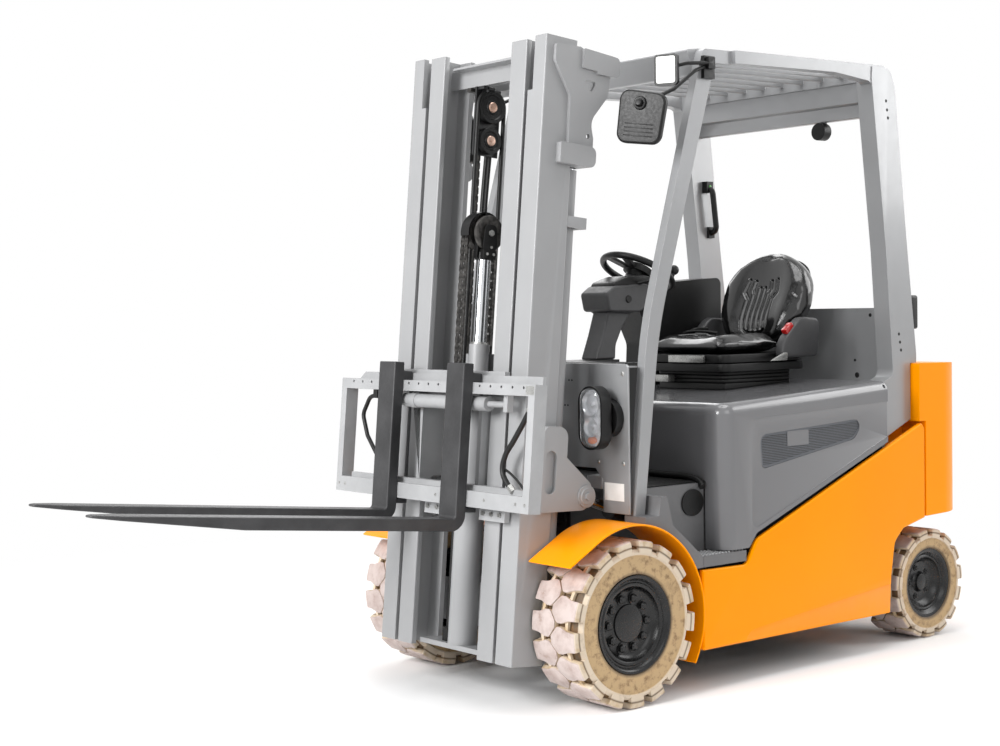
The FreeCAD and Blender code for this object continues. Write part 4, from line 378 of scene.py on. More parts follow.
# Softened edges: a copy of a CAD node with its edges rounded stands in for it
def softened(nodeName, width, angle=28, segments=2, finish=None):
    shape = bmesh.new()
    shape.from_mesh(nodes[nodeName].data)
    bmesh.ops.remove_doubles(shape, verts=shape.verts[:], dist=0.00002)
    bmesh.ops.dissolve_limit(
        shape, angle_limit=math.radians(0.6), verts=shape.verts[:], edges=shape.edges[:], delimit={"NORMAL"}
    )
    mesh = bpy.data.meshes.new(nodeName + "_soft")
    shape.to_mesh(mesh)
    shape.free()
    piece = bpy.data.objects.new(nodeName + "_soft", mesh)
    scene.collection.objects.link(piece)
    mesh.materials.append(materials[finish] if finish else nodes[nodeName].data.materials[0])
    edge = piece.modifiers.new("edge", "BEVEL")
    edge.width = width
    edge.segments = segments
    edge.limit_method = "ANGLE"
    edge.angle_limit = math.radians(angle)
    edge.use_clamp_overlap = True
    edge.harden_normals = False
    mesh.shade_smooth()
    mesh.set_sharp_from_angle(angle=math.radians(angle))
    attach(piece, bodyOf[nodeName])
    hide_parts(nodeName)
    return piece


edgeWidths = {
    "counterweight": (0.008, 3), "cab_floor": (0.004, 2), "front_panel": (0.003, 2),
    "guard_side_frames": (0.013, 4), "guard_roof": (0.004, 2), "guard_rear_panels": (0.0025, 2),
    "mast_outer_rails": (0.002, 2), "mast_inner_rails": (0.002, 2), "mast_head_bracket": (0.003, 2),
    "side_shifter": (0.002, 2), "carriage": (0.002, 2), "fork_left": (0.004, 2), "fork_right": (0.004, 2),
    "dash_cover": (0.006, 2), "steering_column": (0.008, 3), "operator_console": (0.010, 3),
    "chassis_frame": (0.002, 2), "hood": (0.002, 2), "side_skirts": (0.0015, 2), "front_fenders": (0.0025, 2),
    "mirrors": (0.003, 2), "headlamps": (0.003, 2), "work_lamp": (0.003, 2), "drive_axle": (0.003, 2),
}
for nodeName, (width, steps) in edgeWidths.items():
    softened(nodeName, width, segments=steps)
print("edges are softened")


# Helpers for the new pieces
def addPiece(name, shape, finish, body, place=truckPlace, sharp=32, turnOut=True):
    if turnOut:
        bmesh.ops.recalc_face_normals(shape, faces=shape.faces[:])
    mesh = bpy.data.meshes.new(name)
    shape.to_mesh(mesh)
    shape.free()
    mesh.transform(place)
    mesh.materials.append(materials[finish])
    mesh.shade_smooth()
    mesh.set_sharp_from_angle(angle=math.radians(sharp))
    piece = bpy.data.objects.new(name, mesh)
    scene.collection.objects.link(piece)
    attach(piece, body)
    return piece


def block(shape, x, y, z):
    middle = [(a + b) / 2 for a, b in (x, y, z)]
    size = [abs(b - a) for a, b in (x, y, z)]
    place = Matrix.Translation(middle) @ Matrix.Diagonal((*size, 1))
    return bmesh.ops.create_cube(shape, size=1, matrix=place)["verts"]


def barrel(shape, start, end, radius, segments=32, endRadius=None):
    start, end = Vector(start), Vector(end)
    turn = Vector((0, 0, 1)).rotation_difference(end - start).to_matrix().to_4x4()
    place = Matrix.Translation((start + end) / 2) @ turn
    made = bmesh.ops.create_cone(
        shape, cap_ends=True, segments=segments, radius1=radius, radius2=radius if endRadius is None else endRadius,
        depth=(end - start).length, matrix=place
    )
    return made["verts"]


planes = {"xz": ((1, 0, 0), (0, 0, 1), (0, 1, 0)), "xy": ((1, 0, 0), (0, 1, 0), (0, 0, 1)),
          "yz": ((0, 1, 0), (0, 0, 1), (1, 0, 0))}


def plate(shape, corners, low, high, plane="xz"):
    first, second, normal = (Vector(v) for v in planes[plane])
    face = shape.faces.new([shape.verts.new(first * a + second * b + normal * low) for a, b in corners])
    grown = bmesh.ops.extrude_face_region(shape, geom=[face])["geom"]
    moved = [g for g in grown if isinstance(g, bmesh.types.BMVert)]
    bmesh.ops.translate(shape, verts=moved, vec=normal * (high - low))
    return list(face.verts) + moved if face.is_valid else moved


def rounded(corners, radius, steps=5):
    # The corners of an outline swapped for short arcs
    points = []
    for i, here in enumerate(corners):
        here, last, after = Vector(here), Vector(corners[i - 1]), Vector(corners[(i + 1) % len(corners)])
        reach = min(radius, (last - here).length * 0.45, (after - here).length * 0.45)
        start, end = here + (last - here).normalized() * reach, here + (after - here).normalized() * reach
        for k in range(steps + 1):
            t = k / steps
            points.append(tuple(start * (1 - t) ** 2 + here * 2 * t * (1 - t) + end * t ** 2))
    return points


def roundEdges(shape, width, segments=2, angle=30, edges=None):
    if edges is None:
        edges = [e for e in shape.edges if len(e.link_faces) == 2 and e.calc_face_angle(0) > math.radians(angle)]
    bmesh.ops.bevel(shape, geom=edges, offset=width, offset_type="OFFSET", segments=segments, profile=0.5,
                    affect="EDGES", clamp_overlap=True, material=-1)


def turnedRing(shape, profile, centre, steps=96):
    # profile is a run of (y, radius) points; the spin closes it about the axle through centre
    verts = [shape.verts.new((centre[0], y, centre[1] + radius)) for y, radius in profile]
    edges = [shape.edges.new(pair) for pair in zip(verts, verts[1:])]
    if profile[0][1] > 0:
        edges.append(shape.edges.new((verts[-1], verts[0])))
    bmesh.ops.spin(shape, geom=verts + edges, cent=(centre[0], 0, centre[1]), axis=(0, 1, 0),
                   angle=math.tau, steps=steps, use_merge=True)
    bmesh.ops.remove_doubles(shape, verts=shape.verts[:], dist=0.00001)


def bothSides(shape):
    bmesh.ops.mirror(shape, geom=shape.verts[:] + shape.edges[:] + shape.faces[:], merge_dist=0.000001, axis="Y")


def hoseShape(points, radius, rings=6, smooth=10):
    line = bpy.data.curves.new("line", "CURVE")
    line.dimensions = "3D"
    line.bevel_depth = radius
    line.bevel_resolution = rings
    line.use_fill_caps = True
    line.resolution_u = smooth
    run = line.splines.new("BEZIER")
    run.bezier_points.add(len(points) - 1)
    for knot, place in zip(run.bezier_points, points):
        knot.co = place
        knot.handle_left_type = knot.handle_right_type = "AUTO"
    holder = bpy.data.objects.new("line", line)
    scene.collection.objects.link(holder)
    bpy.context.view_layer.update()
    mesh = bpy.data.meshes.new_from_object(holder.evaluated_get(bpy.context.evaluated_depsgraph_get()))
    shape = bmesh.new()
    shape.from_mesh(mesh)
    bmesh.ops.remove_doubles(shape, verts=shape.verts[:], dist=0.00001)
    bpy.data.objects.remove(holder)
    bpy.data.curves.remove(line)
    bpy.data.meshes.remove(mesh)
    return shape


# Tyres: a carcass with a raised ring, and two rows of lugs with pockets between them
lugOutline = [(-0.31, 1.0), (0.31, 1.0), (0.335, 0.66), (0.44, 0.38), (0.44, 0.20), (0.375, 0.125), (0.115, -0.085),
              (-0.115, -0.085), (-0.375, 0.125), (-0.44, 0.20), (-0.44, 0.38), (-0.335, 0.66)]


def makeLug(look, sign):
    radius, half = look["radius"], look["width"] / 2
    pitch = math.tau * radius / look["lugs"]
    lug = bmesh.new()
    low, high = radius - look["depth"] - 0.020, radius
    plate(lug, [(t * pitch, sign * y * half) for t, y in lugOutline], low, high, "xy")
    bmesh.ops.recalc_face_normals(lug, faces=lug.faces[:])
    shoulder = [e for e in lug.edges if all(abs(v.co.y) > half - 0.001 and v.co.z > high - 0.001 for v in e.verts)]
    roundEdges(lug, 0.011, segments=3, edges=shoulder)
    rest = [e for e in lug.edges if len(e.link_faces) == 2 and e.calc_face_angle(0) > math.radians(40)
            and min(v.co.z for v in e.verts) > low + 0.001]
    roundEdges(lug, 0.0028, segments=2, edges=rest)
    for cut in (-0.2, 0.0, 0.2):
        bmesh.ops.bisect_plane(lug, geom=lug.verts[:] + lug.edges[:] + lug.faces[:], dist=0.00001,
                               plane_co=(cut * pitch, 0, 0), plane_no=(1, 0, 0))
    for vert in lug.verts:
        turn, out = vert.co.x / radius, vert.co.z
        vert.co = Vector((out * math.sin(turn), vert.co.y, out * math.cos(turn)))
    mesh = bpy.data.meshes.new("lug")
    lug.to_mesh(mesh)
    lug.free()
    return mesh


def makeTyre(nodeName, look, side):
    radius, bead, outer, width, ring = look["radius"], look["bead"], look["outer"], look["width"], look["ring"]
    base = radius - look["depth"]
    wall = [(0.012, bead), (0.0075, bead + 0.004), (0.0070, bead + ring * 0.5), (0.0062, bead + ring - 0.004),
            (0.0022, bead + ring), (0.0018, bead + ring + 0.006), (0.0050, bead + ring + 0.009),
            (0.0090, base - 0.010), (0.0200, base - 0.003), (0.0300, base)]
    profile = [(outer - d, r) for d, r in wall] + [(outer - width + d, r) for d, r in reversed(wall)]
    tyre = bmesh.new()
    turnedRing(tyre, profile, (0, 0), 120)
    bmesh.ops.recalc_face_normals(tyre, faces=tyre.faces[:])
    middle = outer - width / 2
    for sign in (1, -1):
        lugMesh = makeLug(look, sign)
        for i in range(look["lugs"]):
            turn = math.tau * (i + (0.5 if sign > 0 else 0)) / look["lugs"]
            held = len(tyre.verts)
            tyre.from_mesh(lugMesh)
            tyre.verts.ensure_lookup_table()
            place = Matrix.Rotation(turn, 4, "Y") @ Matrix.Translation((0, middle, 0))
            bmesh.ops.transform(tyre, matrix=place, verts=tyre.verts[held:])
            held = len(tyre.verts)
            half = width / 2
            bridge = block(tyre, (-0.018, 0.018), (sign * half * 0.50, sign * half * 0.62),
                           (base - 0.008, radius - look["depth"] * 0.42))
            place = Matrix.Rotation(turn + math.pi / look["lugs"], 4, "Y") @ Matrix.Translation((0, middle, 0))
            bmesh.ops.transform(tyre, matrix=place, verts=bridge)
        bpy.data.meshes.remove(lugMesh)
    if side < 0:
        bmesh.ops.scale(tyre, vec=(1, -1, 1), verts=tyre.verts[:])
    place = Matrix.Translation((look["centre"][0], 0, look["centre"][1]))
    piece = addPiece(nodeName + "_tread", tyre, look["finish"], bodyOf[nodeName], place, 28)
    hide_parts(nodeName)


rims = {
    "drive": {"outer": 0.620, "profile": [
        (0.0385, 0), (0.0385, 0.058), (0.0410, 0.066), (0.0470, 0.0685), (0.0500, 0.0745), (0.0500, 0.1080),
        (0.0470, 0.1150), (0.0420, 0.1220), (0.0340, 0.1280), (0.0225, 0.1330), (0.0190, 0.1390), (0.0190, 0.1440),
        (0.0225, 0.1480), (0.0225, 0.1530), (0.0160, 0.1580), (0.0100, 0.1620), (0.0072, 0.1670), (0.0072, 0.1733),
        (0.2100, 0.1733), (0.2100, 0.1500), (0.0900, 0.1480), (0.0640, 0.1300), (0.0600, 0.0800), (0.0600, 0)],
        "nuts": 10, "nutCircle": 0.091, "nutRadius": 0.0135, "nutFoot": 0.0500, "nutTop": 0.0345},
    "steer": {"outer": 0.556, "profile": [
        (0.0420, 0), (0.0420, 0.030), (0.0440, 0.034), (0.0520, 0.036), (0.0600, 0.044), (0.0610, 0.078),
        (0.0580, 0.086), (0.0450, 0.096), (0.0400, 0.102), (0.0300, 0.106), (0.0270, 0.112), (0.0300, 0.118),
        (0.0240, 0.124), (0.0170, 0.130), (0.0135, 0.137), (0.0135, 0.1446),
        (0.1800, 0.1446), (0.1800, 0.1250), (0.0900, 0.1220), (0.0720, 0.1000), (0.0700, 0.0500), (0.0700, 0)],
        "nuts": 5, "nutCircle": 0.062, "nutRadius": 0.009, "nutFoot": 0.0610, "nutTop": 0.0530},
}


def makeRim(nodeName, look, centre, side):
    rim = bmesh.new()
    turnedRing(rim, [(look["outer"] - d, r) for d, r in look["profile"]], (0, 0), 96)
    bmesh.ops.recalc_face_normals(rim, faces=rim.faces[:])
    for i in range(look["nuts"]):
        turn = math.tau * i / look["nuts"]
        x, z = look["nutCircle"] * math.cos(turn), look["nutCircle"] * math.sin(turn)
        foot, top, radius = look["outer"] - look["nutFoot"], look["outer"] - look["nutTop"], look["nutRadius"]
        barrel(rim, (x, foot - 0.001, z), (x, foot + 0.003, z), radius * 1.5, 20)
        barrel(rim, (x, foot + 0.003, z), (x, top - 0.005, z), radius * 1.15, 6)
        barrel(rim, (x, top - 0.005, z), (x, top, z), radius * 1.0, 16, radius * 0.6)
    if side < 0:
        bmesh.ops.scale(rim, vec=(1, -1, 1), verts=rim.verts[:])
    place = Matrix.Translation((centre[0], 0, centre[1]))
    piece = addPiece(nodeName + "_dish", rim, "rimBlack", bodyOf[nodeName], place)
    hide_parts(nodeName)


for axle, look in tyres.items():
    for sideName, side in (("left", 1), ("right", -1)):
        makeTyre("%s_tyre_%s" % (axle, sideName), look, side)
        makeRim("%s_rim_%s" % (axle, sideName), rims[axle], look["centre"], side)
print("tyres and rims are made")

# Lift chains: leaf links on the run from the carriage, over the sheave, to the barrel
chain = {"axis": (-0.087, 1.703), "radius": 0.0668, "frontLow": 0.720, "rearLow": 1.300, "pitch": 0.0165,
         "strands": (-0.057, -0.034), "width": 0.019, "leafWall": 0.0024, "leafHalf": 0.0044}


def chainPlace(look, run):
    # Place and turn at a length along the chain from its front foot
    axisX, axisZ = look["axis"]
    front, arch = axisZ - look["frontLow"], math.pi * look["radius"]
    if run < front:
        return axisX + look["radius"], look["frontLow"] + run, 0.0
    if run < front + arch:
        turn = (run - front) / look["radius"]
        return axisX + look["radius"] * math.cos(turn), axisZ + look["radius"] * math.sin(turn), turn
    return axisX - look["radius"], axisZ - (run - front - arch), math.pi


def makeChains(look):
    links = bmesh.new()
    total = look["axis"][1] - look["frontLow"] + math.pi * look["radius"] + look["axis"][1] - look["rearLow"]
    long, half = look["pitch"] * 1.62, look["leafHalf"]
    outline = [(-half, -long / 2 + half), (-half * 0.5, -long / 2), (half * 0.5, -long / 2), (half, -long / 2 + half),
               (half, long / 2 - half), (half * 0.5, long / 2), (-half * 0.5, long / 2), (-half, long / 2 - half)]
    for strand in look["strands"]:
        for i in range(int(total / look["pitch"])):
            x, z, turn = chainPlace(look, (i + 0.5) * look["pitch"])
            place = Matrix.Translation((x, 0, z)) @ Matrix.Rotation(-turn, 4, "Y")
            offsets = (0.0008, 0.0086, 0.0164) if i % 2 else (0.0047, 0.0125)
            made = []
            for offset in offsets:
                made += plate(links, outline, strand + offset, strand + offset + look["leafWall"])
            pinZ = look["pitch"] / 2
            made += barrel(links, (0, strand + 0.0002, pinZ), (0, strand + look["width"] - 0.0002, pinZ), 0.0022, 6)
            bmesh.ops.transform(links, matrix=place, verts=list(set(made)))
    for strand in look["strands"]:
        front, rear = look["axis"][0] + look["radius"], look["axis"][0] - look["radius"]
        block(links, (front - 0.008, front + 0.008), (strand + 0.001, strand + 0.018), (0.698, 0.728))
        block(links, (rear - 0.007, rear + 0.004), (strand + 0.001, strand + 0.018), (1.291, 1.318))
    piece = addPiece("liftChainLeaves", links, "chainSteel", bodyOf["lift_chains"], mastPlace)
    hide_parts("lift_chains")


makeChains(chain)

# Lift head: chrome rod, yoke with its guard, chain sheave and hose sheave
liftHead = {"axisX": -0.087, "sheaveZ": 1.703, "rodRadius": 0.025, "rodLow": 0.760, "yokeLow": 1.605}


def groovedWheel(shape, centre, low, high, radius, depth, hub, steps=64):
    middle, wide = (low + high) / 2, (high - low)
    turnedRing(shape, [
        (low, 0), (low, hub), (low + wide * 0.18, hub + 0.003), (low + wide * 0.18, radius - depth - 0.010),
        (low, radius - depth - 0.006), (low, radius - 0.0012), (low + 0.001, radius),
        (middle - wide * 0.22, radius - depth * 0.5), (middle, radius - depth),
        (middle + wide * 0.22, radius - depth * 0.5), (high - 0.001, radius), (high, radius - 0.0012),
        (high, radius - depth - 0.006), (high - wide * 0.18, radius - depth - 0.010),
        (high - wide * 0.18, hub + 0.003), (high, hub), (high, 0)], centre, steps)


def makeLiftHead(look):
    x, z = look["axisX"], look["sheaveZ"]
    body = bodyOf["lift_head"]
    rod = bmesh.new()
    barrel(rod, (x, 0, look["rodLow"]), (x, 0, look["yokeLow"] + 0.002), look["rodRadius"], 48)
    addPiece("freeLiftRod", rod, "chromeRod", body, mastPlace)
    yoke = bmesh.new()
    outline = rounded([(-0.132, 1.606), (-0.042, 1.606), (-0.050, 1.752), (-0.124, 1.752)], 0.014)
    plate(yoke, outline, -0.010, 0.010)
    plate(yoke, rounded([(-0.122, 1.640), (-0.052, 1.640), (-0.060, 1.735), (-0.114, 1.735)], 0.02), 0.0275, 0.0325)
    block(yoke, (-0.118, -0.056), (0.009, 0.0325), (1.607, 1.642))
    roundEdges(yoke, 0.0015, segments=1)
    barrel(yoke, (x, 0, look["yokeLow"]), (x, 0, look["yokeLow"] + 0.026), 0.034, 40)
    arc = [math.radians(a) for a in range(-10, 131, 10)]
    guard = [(x + 0.0800 * math.cos(a), z + 0.0800 * math.sin(a)) for a in arc]
    guard += [(x + 0.0755 * math.cos(a), z + 0.0755 * math.sin(a)) for a in reversed(arc)]
    plate(yoke, guard, -0.048, 0.000)
    block(yoke, (-0.093, -0.081), (-0.012, 0.010), (1.740, 1.779))
    blackYoke = addPiece("liftYoke", yoke, "blackPlastic", body, mastPlace)
    wheels = bmesh.new()
    groovedWheel(wheels, (x, z), 0.0142, 0.0258, 0.066, 0.007, 0.020)
    turnedRing(wheels, [(-0.0585, 0), (-0.0585, 0.022), (-0.0560, 0.026), (-0.0560, 0.054), (-0.0580, 0.058),
                        (-0.0580, 0.0618), (-0.0142, 0.0618), (-0.0142, 0.058), (-0.0160, 0.054), (-0.0160, 0.026),
                        (-0.0142, 0.022), (-0.0142, 0)], (x, z), 64)
    addPiece("liftSheaves", wheels, "chainSteel", body, mastPlace)
    bolts = bmesh.new()
    barrel(bolts, (x, 0.032, z), (x, 0.0395, z), 0.012, 6)
    for dx, dz in ((-0.016, -0.078), (0.014, -0.078), (-0.004, -0.052)):
        barrel(bolts, (x + dx, 0.0090, z + dz), (x + dx, 0.0360, z + dz), 0.0052, 12)
    addPiece("liftYokeBolts", bolts, "zincSteel", body, mastPlace)
    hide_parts("lift_head")


makeLiftHead(liftHead)

# Hose pulleys at the mast head
pulleys = {"wheels": ((-0.142, 2.188, 0.061), (-0.142, 2.062, 0.050)), "faces": (-0.0900, -0.0680)}


def makePulleys(look):
    low, high = look["faces"]
    body, slot = bodyOf["hose_pulleys"], slotOf["hose_pulleys"]
    frameShape = bmesh.new()
    block(frameShape, (-0.200, -0.080), (low - 0.014, low - 0.006), (2.006, 2.2616))
    block(frameShape, (-0.146, -0.0885), (low - 0.014, high + 0.004), (2.250, 2.2616))
    block(frameShape, (-0.118, -0.1085), (low - 0.014, high + 0.004), (2.240, 2.300))
    roundEdges(frameShape, 0.0015, segments=1)
    addPiece("pulleyHanger", frameShape, "frameBlack", body, mastPlace)
    wheels = bmesh.new()
    caps = bmesh.new()
    for x, z, radius in look["wheels"]:
        groovedWheel(wheels, (x, z), low, high, radius, 0.008, 0.024)
        barrel(wheels, (x, low - 0.007, z), (x, low + 0.002, z), 0.014, 24)
        turnedRing(caps, [(high - 0.001, 0), (high - 0.001, 0.0195), (high + 0.002, 0.0195), (high + 0.0045, 0.017),
                          (high + 0.0055, 0.011), (high + 0.0055, 0)][::-1], (x, z), 40)
        barrel(caps, (x, high + 0.005, z), (x, high + 0.008, z), 0.006, 6)
    black = addPiece("hosePulleyWheels", wheels, "blackPlastic", body, mastPlace)
    addPiece("hosePulleyCaps", caps, "copperCap", body, mastPlace)
    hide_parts("hose_pulleys")


makePulleys(pulleys)
print("mast chains, lift head and pulleys are made")

# Headlamps: bowls, an amber indicator and a clear domed cover in the black shell
lamp = {"y": 0.424, "z": 1.014, "halfY": 0.054, "halfZ": 0.106, "back": 0.0085, "front": 0.040}


def makeHeadlamps(look):
    y, z, back = look["y"], look["z"], look["back"]
    body = bodyOf["headlamps"]
    dish = bmesh.new()
    wide, tall = look["halfY"] - 0.004, look["halfZ"] - 0.004
    corners = [(y - wide, z - tall), (y + wide, z - tall), (y + wide, z + tall), (y - wide, z + tall)]
    outline = rounded(corners, 0.045, 8)
    plate(dish, outline, back, back + 0.003, "yz")
    for offset, radius in ((0.050, 0.043), (-0.032, 0.036)):
        bowl = [(0.0, radius), (0.016, radius), (0.015, radius - 0.003), (0.006, radius * 0.72), (0.003, radius * 0.4),
                (0.003, 0)]
        verts = [dish.verts.new((back + 0.003 + dx, y, z + offset + r)) for dx, r in bowl]
        edges = [dish.edges.new(pair) for pair in zip(verts, verts[1:])]
        bmesh.ops.spin(dish, geom=verts + edges, cent=(0, y, z + offset), axis=(1, 0, 0), angle=math.tau, steps=40,
                       use_merge=True)
        barrel(dish, (back + 0.005, y, z + offset), (back + 0.017, y, z + offset), 0.010, 20, 0.006)
    bmesh.ops.remove_doubles(dish, verts=dish.verts[:], dist=0.00001)
    bothSides(dish)
    addPiece("headlampBowls", dish, "lampChrome", body)
    amber = bmesh.new()
    bmesh.ops.create_uvsphere(amber, u_segments=24, v_segments=14, radius=1, matrix=Matrix.Translation(
        (back + 0.006, y - 0.004, z - 0.080)) @ Matrix.Diagonal((0.012, 0.022, 0.014, 1)))
    bothSides(amber)
    addPiece("headlampIndicators", amber, "amberLens", body)
    cover = bmesh.new()
    outline = rounded([(y - look["halfY"], z - look["halfZ"]), (y + look["halfY"], z - look["halfZ"]),
                       (y + look["halfY"], z + look["halfZ"]), (y - look["halfY"], z + look["halfZ"])], 0.050, 9)
    plate(cover, outline, back, look["front"] - 0.0130, "yz")
    bmesh.ops.recalc_face_normals(cover, faces=cover.faces[:])
    top = [f for f in cover.faces if f.normal.x > 0.9][0]
    for thick, rise in ((0.0030, 0.0050), (0.0055, 0.0040), (0.0090, 0.0025), (0.0120, 0.0012)):
        bmesh.ops.inset_region(cover, faces=[top], thickness=thick, depth=rise, use_even_offset=True)
    bottom = [f for f in cover.faces if f.normal.x < -0.9]
    bmesh.ops.delete(cover, geom=bottom, context="FACES_ONLY")
    bothSides(cover)
    lens = addPiece("headlampCovers", cover, "lensClear", body, sharp=60)
    wall = lens.modifiers.new("wall", "SOLIDIFY")
    wall.thickness = 0.0022
    wall.offset = -1
    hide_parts("headlamp_lenses")


makeHeadlamps(lamp)
print("headlamps are made")

# Seat: sprung base, covers, cushions with sewn channels, buckle and levers
seat = {"frontX": -0.872, "rearX": -1.372, "half": 0.235, "baseTop": 1.2118, "lean": 20, "backFoot": (-1.2685, 1.240),
        "voxel": 0.006, "pressure": 4.0, "swell": 0.008}


def settle(piece):
    # The piece's modifiers become its mesh
    bpy.context.view_layer.update()
    mesh = bpy.data.meshes.new_from_object(piece.evaluated_get(bpy.context.evaluated_depsgraph_get()))
    piece.modifiers.clear()
    old = piece.data
    piece.data = mesh
    bpy.data.meshes.remove(old)


def puff(piece, voxel, pressure, swell, lowest):
    skin = piece.modifiers.new("skin", "REMESH")
    skin.mode = "VOXEL"
    skin.voxel_size = voxel
    settle(piece)
    rest = [v.co.copy() for v in piece.data.vertices]
    cloth = piece.modifiers.new("cloth", "CLOTH")
    cloth.settings.use_pressure = True
    cloth.settings.uniform_pressure_force = pressure
    cloth.settings.effector_weights.gravity = 0
    for number in range(1, 21):
        scene.frame_set(number)
    settle(piece)
    for vert, start in zip(piece.data.vertices, rest):
        move = vert.co - start
        if move.length > swell:
            vert.co = start + move.normalized() * swell
    scene.frame_set(1)
    for vert in piece.data.vertices:
        vert.co.z = max(vert.co.z, lowest)
    fair = piece.modifiers.new("fair", "SMOOTH")
    fair.factor = 0.6
    fair.iterations = 26
    finer = piece.modifiers.new("finer", "SUBSURF")
    finer.levels = finer.render_levels = 1
    settle(piece)


def distanceToRun(point, run):
    best = 9.0
    for start, end in zip(run, run[1:]):
        start, end = Vector(start), Vector(end)
        along = end - start
        t = max(0.0, min(1.0, (point - start).dot(along) / along.length_squared))
        best = min(best, (point - start - along * t).length)
    return best


def sewChannels(piece, toLocal, flatten, facing, runs, depth, wide):
    back = toLocal.inverted()
    for vert in piece.data.vertices:
        local = toLocal @ vert.co
        front = (toLocal.to_3x3() @ vert.normal).dot(facing)
        if front < 0.15:
            continue
        here = Vector(flatten(local))
        near = min(distanceToRun(here, run) for run in runs)
        if near < wide * 3:
            local -= facing * (depth * math.exp(-(near / wide) ** 2))
            vert.co = back @ local
    piece.data.shade_smooth()


def pillow(cuts, roundness):
    # A cube cut into a grid whose sides bulge between front and back
    pad = bmesh.new()
    bmesh.ops.create_cube(pad, size=2)
    bmesh.ops.subdivide_edges(pad, edges=pad.edges[:], cuts=cuts, use_grid_fill=True)
    for vert in pad.verts:
        a, b, c = vert.co
        shrink = math.sqrt(1 - roundness * c * c)
        vert.co = Vector((a * shrink, b * shrink, c * (1 - 0.45 * roundness * (a ** 4 + b ** 4))))
    return pad


backRuns = [[(0.013, 0.078), (0.013, 0.262)],
            [(0.040, 0.082), (0.040, 0.236), (0.050, 0.258), (0.044, 0.292)],
            [(0.067, 0.098), (0.067, 0.212), (0.092, 0.244), (0.078, 0.298)],
            [(0.0, 0.054), (0.040, 0.060), (0.063, 0.078), (0.067, 0.100)]]
backRuns += [[(-y, z) for y, z in run] for run in backRuns]


def makeBackrest(look):
    pad = pillow(20, 0.42)
    for vert in pad.verts:
        c, a, b = vert.co.x, vert.co.y, vert.co.z
        t = (1 + math.sin(b * math.pi / 2)) / 2
        span = 0.66 if t < 0.48 else 0.525
        wide = 0.229 * (1 - (abs(t - 0.48) / span) ** (2.3 if t < 0.48 else 2.9)) ** 0.5
        front = max(c, 0.0)
        bolster = 0.020 * math.exp(-((abs(a) - 0.70) / 0.20) ** 2) * (1 - 0.75 * t) - 0.010 * math.exp(-(a / 0.40) ** 2)
        lumbar = 0.014 * math.exp(-((t - 0.26) / 0.18) ** 2) * (1 - a * a)
        end = (1 - abs(b) ** 6) ** 0.5 if abs(b) < 1 else 0.0
        depth = 0.043 * c * (0.45 + 0.55 * end) + front * (bolster + lumbar)
        vert.co = Vector((depth - 0.056, a * wide, 0.010 + 0.430 * t))
    x, z = look["backFoot"]
    place = truckPlace @ Matrix.Translation((x, 0, z)) @ Matrix.Rotation(math.radians(-look["lean"]), 4, "Y")
    body, slot = bodyOf["seat_backrest"], slotOf["seat_backrest"]
    piece = addPiece("seatBackPad", pad, "seatVinyl", body, place)
    puff(piece, look["voxel"], look["pressure"], look["swell"], look["baseTop"] + 0.006)
    sewChannels(piece, place.inverted(), lambda p: (p.y, p.z), Vector((1, 0, 0)), backRuns, 0.0115, 0.0068)
    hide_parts("seat_backrest")
    shell = bmesh.new()
    outline = rounded([(-0.150, 0.030), (0.150, 0.030), (0.190, 0.200), (0.150, 0.380), (0.080, 0.425), (-0.080, 0.425),
                       (-0.150, 0.380), (-0.190, 0.200)], 0.05)
    plate(shell, outline, -0.1195, -0.108, "yz")
    roundEdges(shell, 0.003, segments=2)
    addPiece("seatBackShell", shell, "blackPlastic", body, place)


cushionRuns = [[(-0.985, 0.120), (-1.215, 0.128)], [(-0.985, -0.120), (-1.215, -0.128)],
               [(-0.985, -0.120), (-0.962, 0.0), (-0.985, 0.120)], [(-1.06, -0.118), (-1.045, 0.0), (-1.06, 0.118)],
               [(-1.135, -0.122), (-1.122, 0.0), (-1.135, 0.122)]]


def makeCushion(look):
    pad = pillow(20, 0.34)
    for vert in pad.verts:
        b, a, c = vert.co
        top = max(c, 0.0)
        wings = 0.012 * math.exp(-((abs(a) - 0.74) / 0.20) ** 2) * (1 - 0.5 * b) - 0.006 * math.exp(-(a / 0.45) ** 2)
        roll = -0.016 * max(0.0, (b - 0.55) / 0.45) ** 2
        vert.co = Vector((-1.066 + 0.188 * b, a * (0.212 - 0.012 * b * b), 1.248 + 0.031 * c + top * (wings + roll)))
    body, slot = bodyOf["seat_cushion"], slotOf["seat_cushion"]
    piece = addPiece("seatPad", pad, "seatVinyl", body)
    puff(piece, look["voxel"], look["pressure"], look["swell"], look["baseTop"] + 0.0012)
    sewChannels(piece, truckPlace.inverted(), lambda p: (p.x, p.y), Vector((0, 0, 1)), cushionRuns, 0.0080, 0.0060)
    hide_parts("seat_cushion")


